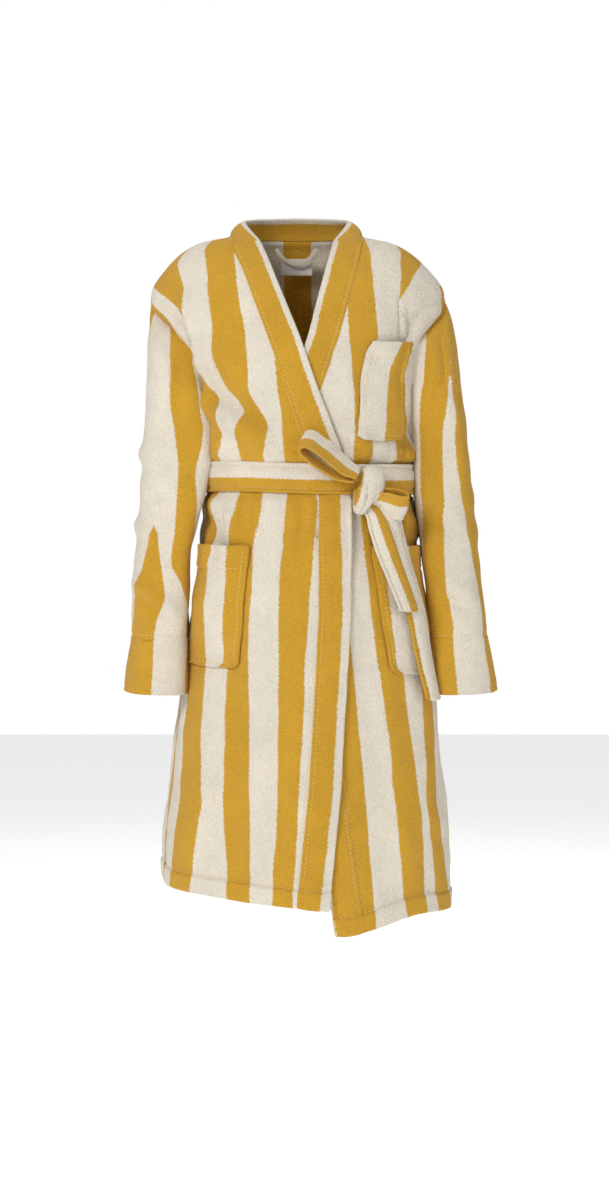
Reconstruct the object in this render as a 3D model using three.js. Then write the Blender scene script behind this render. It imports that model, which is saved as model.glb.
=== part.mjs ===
// Wrap-front terry bathrobe in the shape it has when worn, arms down and belt tied.
// Millimetres, +Z up. The front faces -Y and the wearer's right side is at -X.
// The origin is the centre of the neck opening, at the height where the robe rests on the neck.
import * as THREE from "three";

// Cloth and clearances
const CLOTH = 4; // thickness of the terry
const SEAM_GAP = 0.9; // between two pieces sewn edge to edge
const LAYER_GAP = 2; // between two pieces that lie on each other
const BAND_WIDTH = 44; // finished width of the collar and front band
const LEVEL_STEP = 58; // height between two levels of the body's mesh

// Sections of the body, by their drop below the neck. The half widths and depths are to the lining.
const NECK = { drop: 6, centre: -6, half: 103, front: 38, back: 84 };
const COLLARBONE = { drop: 18, centre: -6, half: 148, front: 56, back: 92 };
const SHOULDER_SLOPE = { drop: 46, centre: -5, half: 192, front: 76, back: 100 };
const SHOULDER_TIP = { drop: 106, centre: -4, half: 230, front: 100, back: 112 };
const ARMPIT = { drop: 200, centre: 6, half: 170, front: 122, back: 122 };
const RIBS = { drop: 300, centre: 10, half: 164, front: 124, back: 116 };
const WAIST = { drop: 392, centre: 14, half: 158, front: 118, back: 108 };
const HIP = { drop: 580, centre: 12, half: 178, front: 142, back: 142 };
const HEM = { drop: 1046, centre: 10, half: 226, front: 172, back: 166 };
const SECTIONS = [NECK, COLLARBONE, SHOULDER_SLOPE, SHOULDER_TIP, ARMPIT, RIBS, WAIST, HIP, HEM];
const SQUARENESS = 2.3; // 2 is an ellipse; more is boxier
const HEM_TILT = 0.09; // the hem hangs lower on the wearer's left side

// Armholes
const ARMHOLE_ANGLE = 75; // degrees from the front centre line to the armhole's edge, at the armpit
const ARMHOLE_BOTTOM = 300; // drop of the underarm point
const ARMHOLE_CLOSES = 270; // drop at which the armhole's edge turns in towards that point

// Front edges: the free edge of each front band, as drop and distance from the centre plane
const RIGHT_EDGE = [[4, -70], [60, -44], [168, -2], [392, 74], [600, 74], [860, 59], [HEM.drop, 42]];
const LEFT_EDGE = [[4, 58], [60, 42], [168, 14], [392, -62], [860, 26], [HEM.drop, 56]];

// Front flaps: where the fold that a flap opens along meets its free edge and the hem
const RIGHT_FOLD = { topDrop: 425, hemX: -165 };
const LEFT_FOLD = { topDrop: 640, hemX: 205 };
const UNDER_CORNER_DROP = 40; // the under flap's corner hangs this much lower than the hem

// Sleeves, at the shoulder and at the mouth of the cuff, whose middle hangs mouthOut from the body's side
const RIGHT_SLEEVE = { side: -1, topX: 200, topY: 4, mouthOut: 37.3, mouthY: -34 };
const LEFT_SLEEVE = { side: 1, topX: 206, topY: 10, mouthOut: 72.3, mouthY: -26 };
const SLEEVE_TOP_HALF = { x: 37, y: 76 };
const SLEEVE_MOUTH_HALF = { x: 43, y: 66 };
const SLEEVE_TOP_DROP = 116; // top of the sleeve, beside the shoulder tip
const SLEEVE_SEAM_FALL = 74; // how far the armhole seam falls from the shoulder to the chest
const UNDERARM_TURNS = [2.3, 2.95]; // between these turns, in radians, the seam drops under the arm
const UNDERARM_EASE = 6; // the sleeve starts this much below the underarm point
const SLEEVE_MOUTH_DROP = 722;
const CUFF_DEPTH = 83;
const SLEEVE_SQUARENESS = 2.6;

// Pockets: outer edge towards the side seam, size, drop of the mouth, tilt
const HIP_POCKET = { width: 118, height: 190, drop: 494, sideAngle: 73 };
const CHEST_POCKET = { width: 80, height: 150, drop: 172, sideAngle: 66, slant: 12 };
const POCKET_BULGE = 17; // how far a pocket stands off the panel in the middle of its mouth
const POCKET_PULL = 0.97; // a pocket's width along the panel, as a share of its cut width

// Belt
const BELT_WIDTH = 43;
const BELT_DROP = 388; // drop of the belt's middle
const KNOT_ANGLE = 27; // degrees from the front centre line to the knot
const KNOT_FALL = 18; // the knot's middle hangs this much below the belt's middle
const KNOT = { width: 42, height: 62, depth: 24, corner: 9, bevel: 5, tilt: -12 };
const BOW_LOOP = { length: 96, height: 24, fromKnot: [-24, -BELT_WIDTH / 2 - 4.5, 20], tilt: [-46, 36, 16] };
const SHORT_TAIL = { length: 136, startAngle: 29, endAngle: 45 };
const LONG_TAIL = { length: 270, startAngle: 36, endAngle: 55 };
const TAIL_DROP = 13; // from the bottom of the knot to the top of a tail, so that a tail lifts clear
const BELT_LOOP = { width: 12, height: BELT_WIDTH + 19, thick: 2, play: 1, steepness: 4 };

// Neck trim
const NECK_BAND_RISE = 30; // height of the collar band above its seam, at the back of the neck
const NECK_BAND_LEAN = 18; // the band leans in towards the neck by this much
const NECK_BAND_SIDE = 50; // how far forward of the neck's centre the band's ends reach
const NECK_BAND_SETBACK = 11.4; // the band's ends stop this far behind the front bands
const HANGER_LOOP = { span: 70, fall: 26, tape: 5, thick: 1.5, inFromBack: 24, belowNeck: 14 };
const NECK_LABEL = { width: 50, height: 26, thick: 1, inFromBack: 12, belowNeck: 40 };
const CARE_LABEL = { width: 24, height: 52, thick: 1, inFromSide: 5, behindCentre: 10 };

const mustard = { color: 0xcd9b32, roughness: 0.95, metalness: 0 };
const cream = { color: 0xe8dece, roughness: 0.95, metalness: 0 };

const radians = THREE.MathUtils.degToRad;
const mix = THREE.MathUtils.lerp;
const ease = THREE.MathUtils.smoothstep;
const robe = new THREE.Group();

const sectionAt = new THREE.CubicInterpolant(
  SECTIONS.map((s) => s.drop),
  SECTIONS.flatMap((s) => [s.centre, s.half, s.front, s.back]),
  4,
);

const halfAt = (drop) => sectionAt.evaluate(drop)[1];

// A point of the body at a drop below the neck, an angle from the front centre line (positive towards
// the wearer's left) and a distance outside the lining.
function bodyPoint(drop, angle, out) {
  const [centre, half, front, back] = sectionAt.evaluate(drop);
  const s = Math.sin(angle);
  const c = Math.cos(angle);
  const power = 2 / SQUARENESS;
  const x = centre + Math.sign(s) * (half + out) * Math.abs(s) ** power;
  const depth = c > 0 ? front : back;
  const y = -Math.sign(c) * (depth + out) * Math.abs(c) ** power;
  const skirt = ease(drop, WAIST.drop, HEM.drop);
  return new THREE.Vector3(x, y, -drop - HEM_TILT * x * skirt);
}

// The angle at which the front of the body has a given X.
function frontAngle(drop, x) {
  const [centre, half] = sectionAt.evaluate(drop);
  const share = THREE.MathUtils.clamp((x - centre) / half, -1, 1);
  return Math.asin(Math.sign(share) * Math.abs(share) ** (SQUARENESS / 2));
}

// The size of an angle, measured the shorter way round.
function turnFromZero(angle) {
  return Math.abs(THREE.MathUtils.euclideanModulo(angle + Math.PI, 2 * Math.PI) - Math.PI);
}

// The value of an outline, given as [drop, x] points, at a drop.
function outlineAt(outline, drop) {
  const below = Math.max(1, outline.findIndex(([d]) => d >= drop));
  const [d0, x0] = outline[below - 1];
  const [d1, x1] = outline[below];
  return mix(x0, x1, (drop - d0) / (d1 - d0));
}

function addMesh(name, geometry, finish, parent = robe) {
  const mesh = new THREE.Mesh(geometry, new THREE.MeshStandardMaterial(finish));
  mesh.name = name;
  parent.add(mesh);
  return mesh;
}

// Moves every vertex of a geometry to place(u, v, t), each from 0 to 1.
function bend(geometry, unit, place) {
  const spots = geometry.attributes.position;
  const spot = new THREE.Vector3();
  for (let i = 0; i < spots.count; i++) {
    const { u, v, t } = unit(spot.fromBufferAttribute(spots, i));
    spots.setXYZ(i, ...place(u, v, t).toArray());
  }
  geometry.computeVertexNormals();
  return geometry;
}

// A sheet of cloth: u runs across it, v up it and t from its lining to its face.
function sheet(across, along, place) {
  const box = new THREE.BoxGeometry(1, 1, 1, across, along, 1);
  return bend(box, (p) => ({ u: p.x + 0.5, v: p.y + 0.5, t: p.z + 0.5 }), place);
}

// A tube of cloth, open at both ends: u runs round it.
function tube(around, along, place) {
  const rise = Array.from({ length: along + 1 }, (_, i) => i / along);
  const face = rise.map((v) => new THREE.Vector2(2, v));
  const lining = rise.map((v) => new THREE.Vector2(1, v)).reverse();
  const ring = new THREE.LatheGeometry([...face, ...lining, face[0]], around);
  const unit = (p) => ({
    u: Math.atan2(p.x, p.z) / (2 * Math.PI),
    v: p.y,
    t: Math.hypot(p.x, p.z) - 1,
  });
  return bend(ring, unit, place);
}

// Drops from low to high, in even steps, that always hold the given ones.
function levels(bottom, top, step, keep = []) {
  const marks = [bottom, ...keep.filter((d) => d < bottom && d > top), top].sort((a, b) => b - a);
  const found = [bottom];
  marks.slice(1).forEach((mark, i) => {
    const count = Math.max(1, Math.round((marks[i] - mark) / step));
    for (let k = 1; k <= count; k++) found.push(mix(marks[i], mark, k / count));
  });
  return found;
}

// How much lower than the rest of the hem the under flap's free corner hangs.
function cornerFall(drop, x) {
  const along = ease(drop, LEFT_FOLD.topDrop, HEM.drop);
  return UNDER_CORNER_DROP * along * (1 - ease(x, outlineAt(LEFT_EDGE, HEM.drop), LEFT_FOLD.hemX));
}

// A piece of the body between two angles that depend on the drop.
function bodyPiece(name, finish, { drops, across, from, to, out, fall = () => 0 }) {
  const place = (u, v, t) => {
    const drop = drops[Math.round(v * (drops.length - 1))];
    const angle = mix(from(drop), to(drop), u);
    const point = bodyPoint(drop, angle, out(angle, drop) + t * CLOTH);
    point.z -= fall(drop, point.x);
    return point;
  };
  return addMesh(name, sheet(across, drops.length - 1, place), finish);
}

// The side edge of the front or back: the shoulder seam, then the armhole, then the side seam.
function sideAngle(drop, armholeAngle) {
  const gap = (SEAM_GAP / 2 + CLOTH * 0.2) / sectionAt.evaluate(drop)[1];
  const seam = Math.PI / 2 - gap;
  if (drop < SHOULDER_TIP.drop || drop >= ARMHOLE_BOTTOM) return seam;
  const opens = ease(drop, SHOULDER_TIP.drop, ARMPIT.drop);
  const closes = ease(drop, ARMHOLE_CLOSES, ARMHOLE_BOTTOM);
  return mix(seam, armholeAngle, opens * (1 - closes));
}

const layer = CLOTH + LAYER_GAP;
const armhole = radians(ARMHOLE_ANGLE);
const rightEdge = (drop) => outlineAt(RIGHT_EDGE, drop);
const leftEdge = (drop) => outlineAt(LEFT_EDGE, drop);
const rightSeam = (drop) => rightEdge(drop) - BAND_WIDTH;
const leftSeam = (drop) => leftEdge(drop) + BAND_WIDTH;

// The folds that the flaps open along, as straight lines in the front view.
const rightFoldTop = rightEdge(RIGHT_FOLD.topDrop);
const leftFoldTop = leftEdge(LEFT_FOLD.topDrop);
const foldShare = (drop, top) => (drop - top) / (HEM.drop - top);
const rightFold = (drop) => mix(rightFoldTop, RIGHT_FOLD.hemX, foldShare(drop, RIGHT_FOLD.topDrop));
const leftFold = (drop) => mix(leftFoldTop, LEFT_FOLD.hemX, foldShare(drop, LEFT_FOLD.topDrop));

// The drop at which a fold crosses the seam of its band.
function foldCrossing(fold, seam, top) {
  let [high, low] = [top, HEM.drop];
  const first = Math.sign(fold(high) - seam(high));
  for (let i = 0; i < 40; i++) {
    const middle = (high + low) / 2;
    if (Math.sign(fold(middle) - seam(middle)) === first) high = middle;
    else low = middle;
  }
  return high;
}
const rightCross = foldCrossing(rightFold, rightSeam, RIGHT_FOLD.topDrop);
const leftCross = foldCrossing(leftFold, leftSeam, LEFT_FOLD.topDrop);

// The right front lies over the left front, so it steps out where the two overlap.
function rightLift(angle, drop) {
  const start = frontAngle(drop, leftEdge(drop) - 110);
  const end = frontAngle(drop, leftEdge(drop) - 35);
  return layer * ease(angle, start, end);
}
const flat = () => 0;

const THINNEST = 10; // the height over which a piece that ends in a point is left off
const bandTop = LEFT_EDGE[0][0] + 14;

// Every piece of the fronts and back has its levels at these drops, so that neighbours meet.
const bodyDrops = levels(HEM.drop, NECK.drop, LEVEL_STEP, [
  bandTop,
  SHOULDER_TIP.drop,
  ARMPIT.drop,
  ARMHOLE_BOTTOM,
  RIGHT_FOLD.topDrop,
  RIGHT_FOLD.topDrop + THINNEST,
  rightCross - THINNEST,
  rightCross,
  rightCross + THINNEST,
  LEFT_FOLD.topDrop,
  LEFT_FOLD.topDrop + THINNEST,
  leftCross - THINNEST,
  leftCross,
  leftCross + THINNEST,
]);
const between = (top, bottom) => bodyDrops.filter((d) => d >= top - 1e-6 && d <= bottom + 1e-6);

function addBack() {
  const drops = between(NECK.drop, HEM.drop);
  const from = (drop) => Math.PI - sideAngle(drop, armhole);
  const to = (drop) => Math.PI + sideAngle(drop, armhole);
  bodyPiece("back_panel", mustard, { drops, across: 20, from, to, out: flat });
}

// The four pieces of a front. Its panel and band above the fold stay with the body, and below the
// fold they are the flap. Edges are given from the side seam inwards, on the side of the given sign.
function addFront(name, side, edges, parts) {
  const { seam, edge, fold, top, cross } = edges;
  const half = SEAM_GAP / 2;
  const inner = side < 0 ? Math.max : Math.min;
  const outer = side < 0 ? Math.min : Math.max;
  const at = (x) => (drop) => frontAngle(drop, x(drop));
  const pieces = {
    front_panel: [NECK.drop, HEM.drop, (d) => side * sideAngle(d, armhole),
      at((d) => (d > cross ? fold(d) : seam(d)) + side * half), 12, parts.panel],
    front_flap: [cross + THINNEST, HEM.drop, at((d) => fold(d) - side * half),
      at((d) => seam(d) + side * half), 8, parts.panel],
    front_band: [bandTop, cross - THINNEST, at((d) => seam(d) - side * half),
      at((d) => outer(edge(d), d > top ? fold(d) + side * half : edge(d))), 3, mustard],
    flap_band: [top + THINNEST, HEM.drop, at((d) => inner(seam(d), fold(d)) - side * half),
      at(edge), 3, mustard],
  };
  for (const [piece, [high, low, start, end, across, finish]] of Object.entries(pieces)) {
    const [from, to] = side < 0 ? [start, end] : [end, start];
    const { lift: out, fall } = parts;
    bodyPiece(name + "_" + piece, finish, { drops: between(high, low), across, from, to, out, fall });
  }
}

const rightEdges = {
  seam: rightSeam,
  edge: rightEdge,
  fold: rightFold,
  top: RIGHT_FOLD.topDrop,
  cross: rightCross,
};
const leftEdges = {
  seam: leftSeam,
  edge: leftEdge,
  fold: leftFold,
  top: LEFT_FOLD.topDrop,
  cross: leftCross,
};

// The collar band round the neck, from the left front's band, round the back, to the right front's.
function addNeckBand() {
  const start = bandTop;
  const onFront = (x) => bodyPoint(start, frontAngle(start, x), 0).setZ(-start + CLOTH);
  const corners = [onFront(leftSeam(start)), onFront(leftEdge(start))];
  const ends = [onFront(rightSeam(start)), onFront(rightEdge(start))];
  const [centre, half, , back] = sectionAt.evaluate(NECK.drop);
  const lift = CLOTH + SEAM_GAP - NECK.drop;
  const ring = (rise, shrink) =>
    Array.from({ length: 9 }, (_, i) => {
      const angle = mix(radians(62), radians(298), i / 8);
      const share = mix(0.35, 1, Math.sin((i / 8) * Math.PI));
      const x = centre + (half - CLOTH - shrink) * Math.sin(angle);
      const y = -(Math.cos(angle) > 0 ? NECK_BAND_SIDE : back - shrink) * Math.cos(angle);
      return new THREE.Vector3(x, y, lift + rise * share);
    });
  const setBack = (point) => point.setY(point.y + NECK_BAND_SETBACK);
  const path = (first, points, last) =>
    new THREE.CatmullRomCurve3([setBack(first), ...points, setBack(last)]);
  const outer = path(corners[0], ring(0, 0), ends[0]);
  const inner = path(corners[1], ring(NECK_BAND_RISE, NECK_BAND_LEAN), ends[1]);
  const place = (u, v, t) => {
    const low = outer.getPoint(u);
    const high = inner.getPoint(u);
    const run = outer.getTangent(u);
    const face = run.cross(high.clone().sub(low)).normalize();
    return low.lerp(high, v).addScaledVector(face, t * CLOTH);
  };
  addMesh("neck_band", sheet(32, 3, place), mustard);
}

// A point of a sleeve: turn is 0 at its outer side, and share runs from 0 at the top to 1 at the mouth.
function sleevePoint(sleeve, turn, drop, out) {
  const share = (drop - SLEEVE_TOP_DROP) / (SLEEVE_MOUTH_DROP - SLEEVE_TOP_DROP);
  const power = 2 / SLEEVE_SQUARENESS;
  const halfX = mix(SLEEVE_TOP_HALF.x, SLEEVE_MOUTH_HALF.x, share) + out;
  const halfY = mix(SLEEVE_TOP_HALF.y, SLEEVE_MOUTH_HALF.y, share) + out;
  const [c, s] = [Math.cos(turn), Math.sin(turn)];
  const mouthX = halfAt(SLEEVE_MOUTH_DROP) + sleeve.mouthOut;
  const x = mix(sleeve.topX, mouthX, share) + halfX * Math.sign(c) * Math.abs(c) ** power;
  const y = mix(sleeve.topY, sleeve.mouthY, share) + halfY * Math.sign(s) * Math.abs(s) ** power;
  return new THREE.Vector3(sleeve.side * x, y, -drop);
}

// The drop of the armhole seam round the sleeve: low under the arm, high on the shoulder.
function sleeveTop(turn) {
  const across = (1 - Math.cos(turn)) / 2;
  const inner = ease(turnFromZero(turn), ...UNDERARM_TURNS);
  const underarm = ARMHOLE_BOTTOM + UNDERARM_EASE - SLEEVE_TOP_DROP - SLEEVE_SEAM_FALL;
  return SLEEVE_TOP_DROP + SLEEVE_SEAM_FALL * across + underarm * inner;
}

function addSleeve(name, sleeve) {
  const cuffTop = SLEEVE_MOUTH_DROP - CUFF_DEPTH;
  // The tube turns the other way on the wearer's right side, so that its face stays outside.
  const turnOf = (u) => sleeve.side * u * 2 * Math.PI;
  const upper = (u, v, t) => {
    const turn = turnOf(u);
    return sleevePoint(sleeve, turn, mix(cuffTop - SEAM_GAP, sleeveTop(turn), v), (t - 1) * CLOTH);
  };
  const cuff = (u, v, t) =>
    sleevePoint(sleeve, turnOf(u), mix(SLEEVE_MOUTH_DROP, cuffTop, v), (t - 1) * CLOTH + 1);
  addMesh(name + "_sleeve", tube(28, 9, upper), mustard);
  addMesh(name + "_cuff", tube(28, 2, cuff), cream);
}

// A patch pocket, sewn at its sides and bottom, that stands off its panel towards the mouth.
function addPocket(name, pocket, side, finish) {
  const place = (u, v, t) => {
    const drop = pocket.drop + pocket.height * (1 - v);
    const [, half, front] = sectionAt.evaluate(drop);
    const outside = radians(pocket.sideAngle);
    const inside = outside - (pocket.width / ((half + front) / 2)) * POCKET_PULL;
    const slant = ((pocket.slant ?? 0) * (1 - v)) / half;
    const angle = side > 0 ? mix(inside, outside, u) - slant : mix(-outside, -inside, u);
    const bulge = POCKET_BULGE * Math.sin(Math.PI * u) * ease(v, 0, 0.4);
    const under = side < 0 ? rightLift(angle, drop) : 0;
    return bodyPoint(drop, angle, under + layer + bulge + t * CLOTH);
  };
  addMesh(name, sheet(8, 6, place), finish);
}

// How far the belt's lining stands off the waist: over one layer at the sides and back, two in front.
function beltOut(angle) {
  const leavesOverlap = ease(turnFromZero(angle), radians(62), radians(100));
  return layer + LAYER_GAP + layer * (1 - leavesOverlap);
}

// The belt's ring round the waist, with the knot in front of it.
function addBeltWrap() {
  const place = (u, v, t) => {
    const angle = u * 2 * Math.PI;
    const drop = BELT_DROP + BELT_WIDTH * (0.5 - v);
    return bodyPoint(drop, angle, beltOut(angle) + t * CLOTH);
  };
  addMesh("belt_wrap", tube(40, 1, place), cream);
}

const knotDrop = BELT_DROP + KNOT_FALL;
const knotOut = beltOut(radians(KNOT_ANGLE)) + CLOTH + LAYER_GAP;
const knotPlace = bodyPoint(knotDrop, radians(KNOT_ANGLE), knotOut);

function addKnot() {
  const { width, height, depth, corner, bevel, tilt } = KNOT;
  const outline = new THREE.Shape();
  const x = width / 2 - corner;
  const y = height / 2 - corner;
  outline.absarc(x, y, corner, 0, Math.PI / 2);
  outline.absarc(-x, y, corner, Math.PI / 2, Math.PI);
  outline.absarc(-x, -y, corner, Math.PI, 1.5 * Math.PI);
  outline.absarc(x, -y, corner, 1.5 * Math.PI, 2 * Math.PI);
  const block = new THREE.ExtrudeGeometry(outline, {
    depth: depth - 2 * bevel,
    curveSegments: 3,
    bevelSize: bevel,
    bevelThickness: bevel,
    bevelOffset: -bevel,
    bevelSegments: 2,
  });
  block.translate(0, 0, bevel);
  const mesh = addMesh("belt_knot", block, cream);
  mesh.position.copy(knotPlace);
  mesh.rotation.set(Math.PI / 2, 0, 0);
  mesh.rotateY(radians(KNOT_ANGLE));
  mesh.rotateZ(radians(tilt));
}

// The bow loop: a strap that leaves the knot, folds back at its tip and returns.
function addBowLoop() {
  const { length, height, fromKnot, tilt } = BOW_LOOP;
  const teardrop = (reach, rise, tail) => {
    const shape = new THREE.Shape();
    shape.moveTo(-tail, 0);
    shape.bezierCurveTo(-length * 0.4, rise, -reach, rise, -reach, 0);
    shape.bezierCurveTo(-reach, -rise, -length * 0.4, -rise, -tail, 0);
    return shape;
  };
  const outline = teardrop(length, height * 0.66, 0);
  outline.holes.push(teardrop(length - CLOTH, height * 0.66 - CLOTH * 1.3, 16));
  const flatEnds = { depth: BELT_WIDTH, bevelEnabled: false, curveSegments: 8 };
  const strap = new THREE.ExtrudeGeometry(outline, flatEnds);
  strap.translate(0, 0, -BELT_WIDTH / 2);
  const mesh = addMesh("belt_bow_loop", strap, mustard);
  mesh.position.copy(knotPlace).add(new THREE.Vector3(...fromKnot));
  mesh.rotation.set(...tilt.map(radians), "ZYX");
}

// A tail hangs from the knot down the outside of the left front and its pocket.
const tailOut = layer + POCKET_BULGE + CLOTH + LAYER_GAP;
const tailTop = knotDrop + KNOT.height / 2 + TAIL_DROP;
function addTail(name, tail, out, finish) {
  const place = (u, v, t) => {
    const drop = tailTop + tail.length * (1 - v);
    const [, half, front] = sectionAt.evaluate(drop);
    const width = BELT_WIDTH / ((half + front) / 2 + out);
    const middle = mix(radians(tail.startAngle), radians(tail.endAngle), 1 - v);
    return bodyPoint(drop, middle + width * (u - 0.5), out + t * CLOTH);
  };
  addMesh(name, sheet(3, Math.round(tail.length / 32), place), finish);
}

// How far the belt, which runs straight from its top edge to its bottom edge, stands off the hollow
// of the waist between them.
function beltBridge(drop) {
  const share = THREE.MathUtils.clamp((drop - BELT_DROP) / BELT_WIDTH + 0.5, 0, 1);
  const top = halfAt(BELT_DROP - BELT_WIDTH / 2);
  const bottom = halfAt(BELT_DROP + BELT_WIDTH / 2);
  return Math.max(0, mix(top, bottom, share) - halfAt(drop));
}

// A thread loop at a side seam that the belt passes through.
function addBeltLoop(name, side) {
  const reach = CLOTH + LAYER_GAP;
  const place = (u, v, t) => {
    const drop = BELT_DROP + BELT_LOOP.height * (0.5 - v);
    const half = sectionAt.evaluate(drop)[1];
    const middle = (side * Math.PI) / 2;
    const overBelt = beltOut(middle) + CLOTH + BELT_LOOP.play - reach + beltBridge(drop);
    const arch = overBelt * Math.min(1, BELT_LOOP.steepness * Math.sin(Math.PI * v));
    const angle = middle + (BELT_LOOP.width / half) * (u - 0.5);
    return bodyPoint(drop, angle, reach + arch + t * BELT_LOOP.thick);
  };
  addMesh(name, sheet(1, 10, place), cream);
}

// The hanger loop: a narrow tape whose two ends are sewn inside the back of the neck.
function addHangerLoop() {
  const { span, fall, tape, thick, inFromBack, belowNeck } = HANGER_LOOP;
  const arch = (width, depth) => {
    const shape = new THREE.Shape();
    shape.moveTo(-width / 2, 0);
    shape.bezierCurveTo(-width / 3, -depth, width / 3, -depth, width / 2, 0);
    return shape;
  };
  const depth = fall / 0.75; // a curve reaches three quarters of the way to its handles
  const outline = arch(span, depth);
  outline.lineTo(span / 2, tape);
  outline.lineTo(-span / 2, tape);
  outline.closePath();
  const hole = arch(span - 3 * tape, depth - 1.6 * tape);
  hole.closePath();
  outline.holes.push(hole);
  const flatEnds = { depth: thick, bevelEnabled: false, curveSegments: 8 };
  const loop = new THREE.ExtrudeGeometry(outline, flatEnds);
  const mesh = addMesh("hanger_loop", loop, cream);
  mesh.rotation.x = Math.PI / 2;
  mesh.position.set(NECK.centre, NECK.back - inFromBack, -NECK.drop - belowNeck);
}

function addLabels() {
  const { inFromBack, belowNeck } = NECK_LABEL;
  const neck = new THREE.BoxGeometry(NECK_LABEL.width, NECK_LABEL.thick, NECK_LABEL.height);
  const neckLabel = addMesh("neck_label", neck, cream);
  neckLabel.position.set(NECK.centre, NECK.back - inFromBack, -NECK.drop - belowNeck);

  const { inFromSide, behindCentre } = CARE_LABEL;
  const care = new THREE.BoxGeometry(CARE_LABEL.thick, CARE_LABEL.width, CARE_LABEL.height);
  const careLabel = addMesh("care_label", care, cream);
  const narrowest = Math.min(HIP.half, halfAt(HIP.drop - CARE_LABEL.height / 2));
  careLabel.position.set(HIP.centre + narrowest - inFromSide, behindCentre, -HIP.drop);
}

addBack();
addFront("right", -1, rightEdges, { panel: mustard, lift: rightLift });
addFront("left", 1, leftEdges, { panel: cream, lift: flat, fall: cornerFall });
addNeckBand();
addSleeve("right", RIGHT_SLEEVE);
addSleeve("left", LEFT_SLEEVE);
addPocket("right_hip_pocket", HIP_POCKET, -1, mustard);
addPocket("left_hip_pocket", HIP_POCKET, 1, mustard);
addPocket("chest_pocket", CHEST_POCKET, 1, cream);
addBeltWrap();
addKnot();
addBowLoop();
addTail("belt_tail_short", SHORT_TAIL, tailOut + layer, cream);
addTail("belt_tail_long", LONG_TAIL, tailOut, cream);
addBeltLoop("right_belt_loop", -1);
addBeltLoop("left_belt_loop", 1);
addHangerLoop();
addLabels();

export default robe;
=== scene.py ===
import math

import bpy
import numpy as np
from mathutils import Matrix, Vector


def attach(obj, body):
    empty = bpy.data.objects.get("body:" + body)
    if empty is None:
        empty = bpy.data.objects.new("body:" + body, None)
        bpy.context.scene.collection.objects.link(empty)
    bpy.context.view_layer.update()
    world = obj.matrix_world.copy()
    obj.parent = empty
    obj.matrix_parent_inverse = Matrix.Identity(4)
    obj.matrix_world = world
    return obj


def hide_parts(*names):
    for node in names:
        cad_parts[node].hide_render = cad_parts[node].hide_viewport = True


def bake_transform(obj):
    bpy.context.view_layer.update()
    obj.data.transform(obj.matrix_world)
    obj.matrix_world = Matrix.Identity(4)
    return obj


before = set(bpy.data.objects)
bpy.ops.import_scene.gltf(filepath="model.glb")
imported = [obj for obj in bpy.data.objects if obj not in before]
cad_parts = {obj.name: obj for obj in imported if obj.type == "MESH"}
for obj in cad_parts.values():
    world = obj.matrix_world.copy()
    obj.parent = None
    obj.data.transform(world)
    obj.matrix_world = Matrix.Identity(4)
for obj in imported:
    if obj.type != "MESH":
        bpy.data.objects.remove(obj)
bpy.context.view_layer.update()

# The robe is worked out in millimetres, in the frame of the CAD model: the front faces -Y, the
# wearer's right is at -X, and a drop is a distance below the neck. A side is -1 or 1, as X is.
MM = 0.001
CLOTH = 4.0  # one thickness of terry
LAYER = 6.0  # one thickness of cloth and the gap to the next
BAND = 44.0  # width of the bands along the front edges
STRIPE_PAIR = 87.0  # one mustard and one cream stripe
MUSTARD_WIDTH = 45.0
HEM_DEPTH = 27.0  # from the hem up to its stitches
dice = np.random.default_rng(11)


def ease(x, a, b):
    t = np.clip((np.asarray(x, float) - a) / (b - a), 0, 1)
    return t * t * (3 - 2 * t)


def along(table, x):
    """A value read from a table of (place, value) pairs."""
    table = np.array(table, float)
    return np.interp(x, table[:, 0], table[:, 1])


def between(x, a, b, c, d):
    """Rises from 0 to 1 over a to b, and falls back to 0 over c to d."""
    return ease(x, a, b) * (1 - ease(x, c, d))


def bell(x, middle, width):
    return np.exp(-((x - middle) / width) ** 2)


def signed_power(x, power):
    return np.sign(x) * np.abs(x) ** power


def centred(angle):
    """The same angle, from -pi to pi."""
    return np.mod(angle + np.pi, 2 * np.pi) - np.pi


def run_of(path):
    """The length along a path of points, from its start to each of them."""
    return np.concatenate([[0], np.cumsum(np.linalg.norm(np.diff(path, axis=0), axis=1))])


# ---------------------------------------------------------------- the body's form
SECTIONS = np.array([
    (6, -6, 103, 38, 84), (18, -6, 148, 56, 92), (46, -5, 192, 76, 100),
    (106, -4, 230, 100, 112), (200, 6, 170, 122, 122), (300, 10, 164, 124, 116),
    (392, 14, 158, 118, 108), (580, 12, 178, 142, 142), (1046, 10, 226, 172, 166)], float)
SQUARE = 2 / 2.3
NECK_DROP, TIP_DROP, ARMPIT_DROP, UNDERARM_DROP = 6.0, 106.0, 200.0, 300.0
WAIST_DROP, HEM_DROP = 392.0, 1046.0
HEM_TILT = 0.09
ARMHOLE_OPEN = 24.0  # the cloth stands out this far in front of and behind each armhole
ARMHOLE_ANGLE = math.radians(75)
RIGHT_EDGE = [(4, -70), (60, -44), (168, -2), (392, 74), (600, 74), (860, 59), (1046, 42)]
LEFT_EDGE = [(4, 58), (60, 42), (168, 14), (392, -62), (860, 26), (1046, 56)]
LEFT_FOLD_HEM, UNDER_CORNER = 205.0, 40.0


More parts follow.
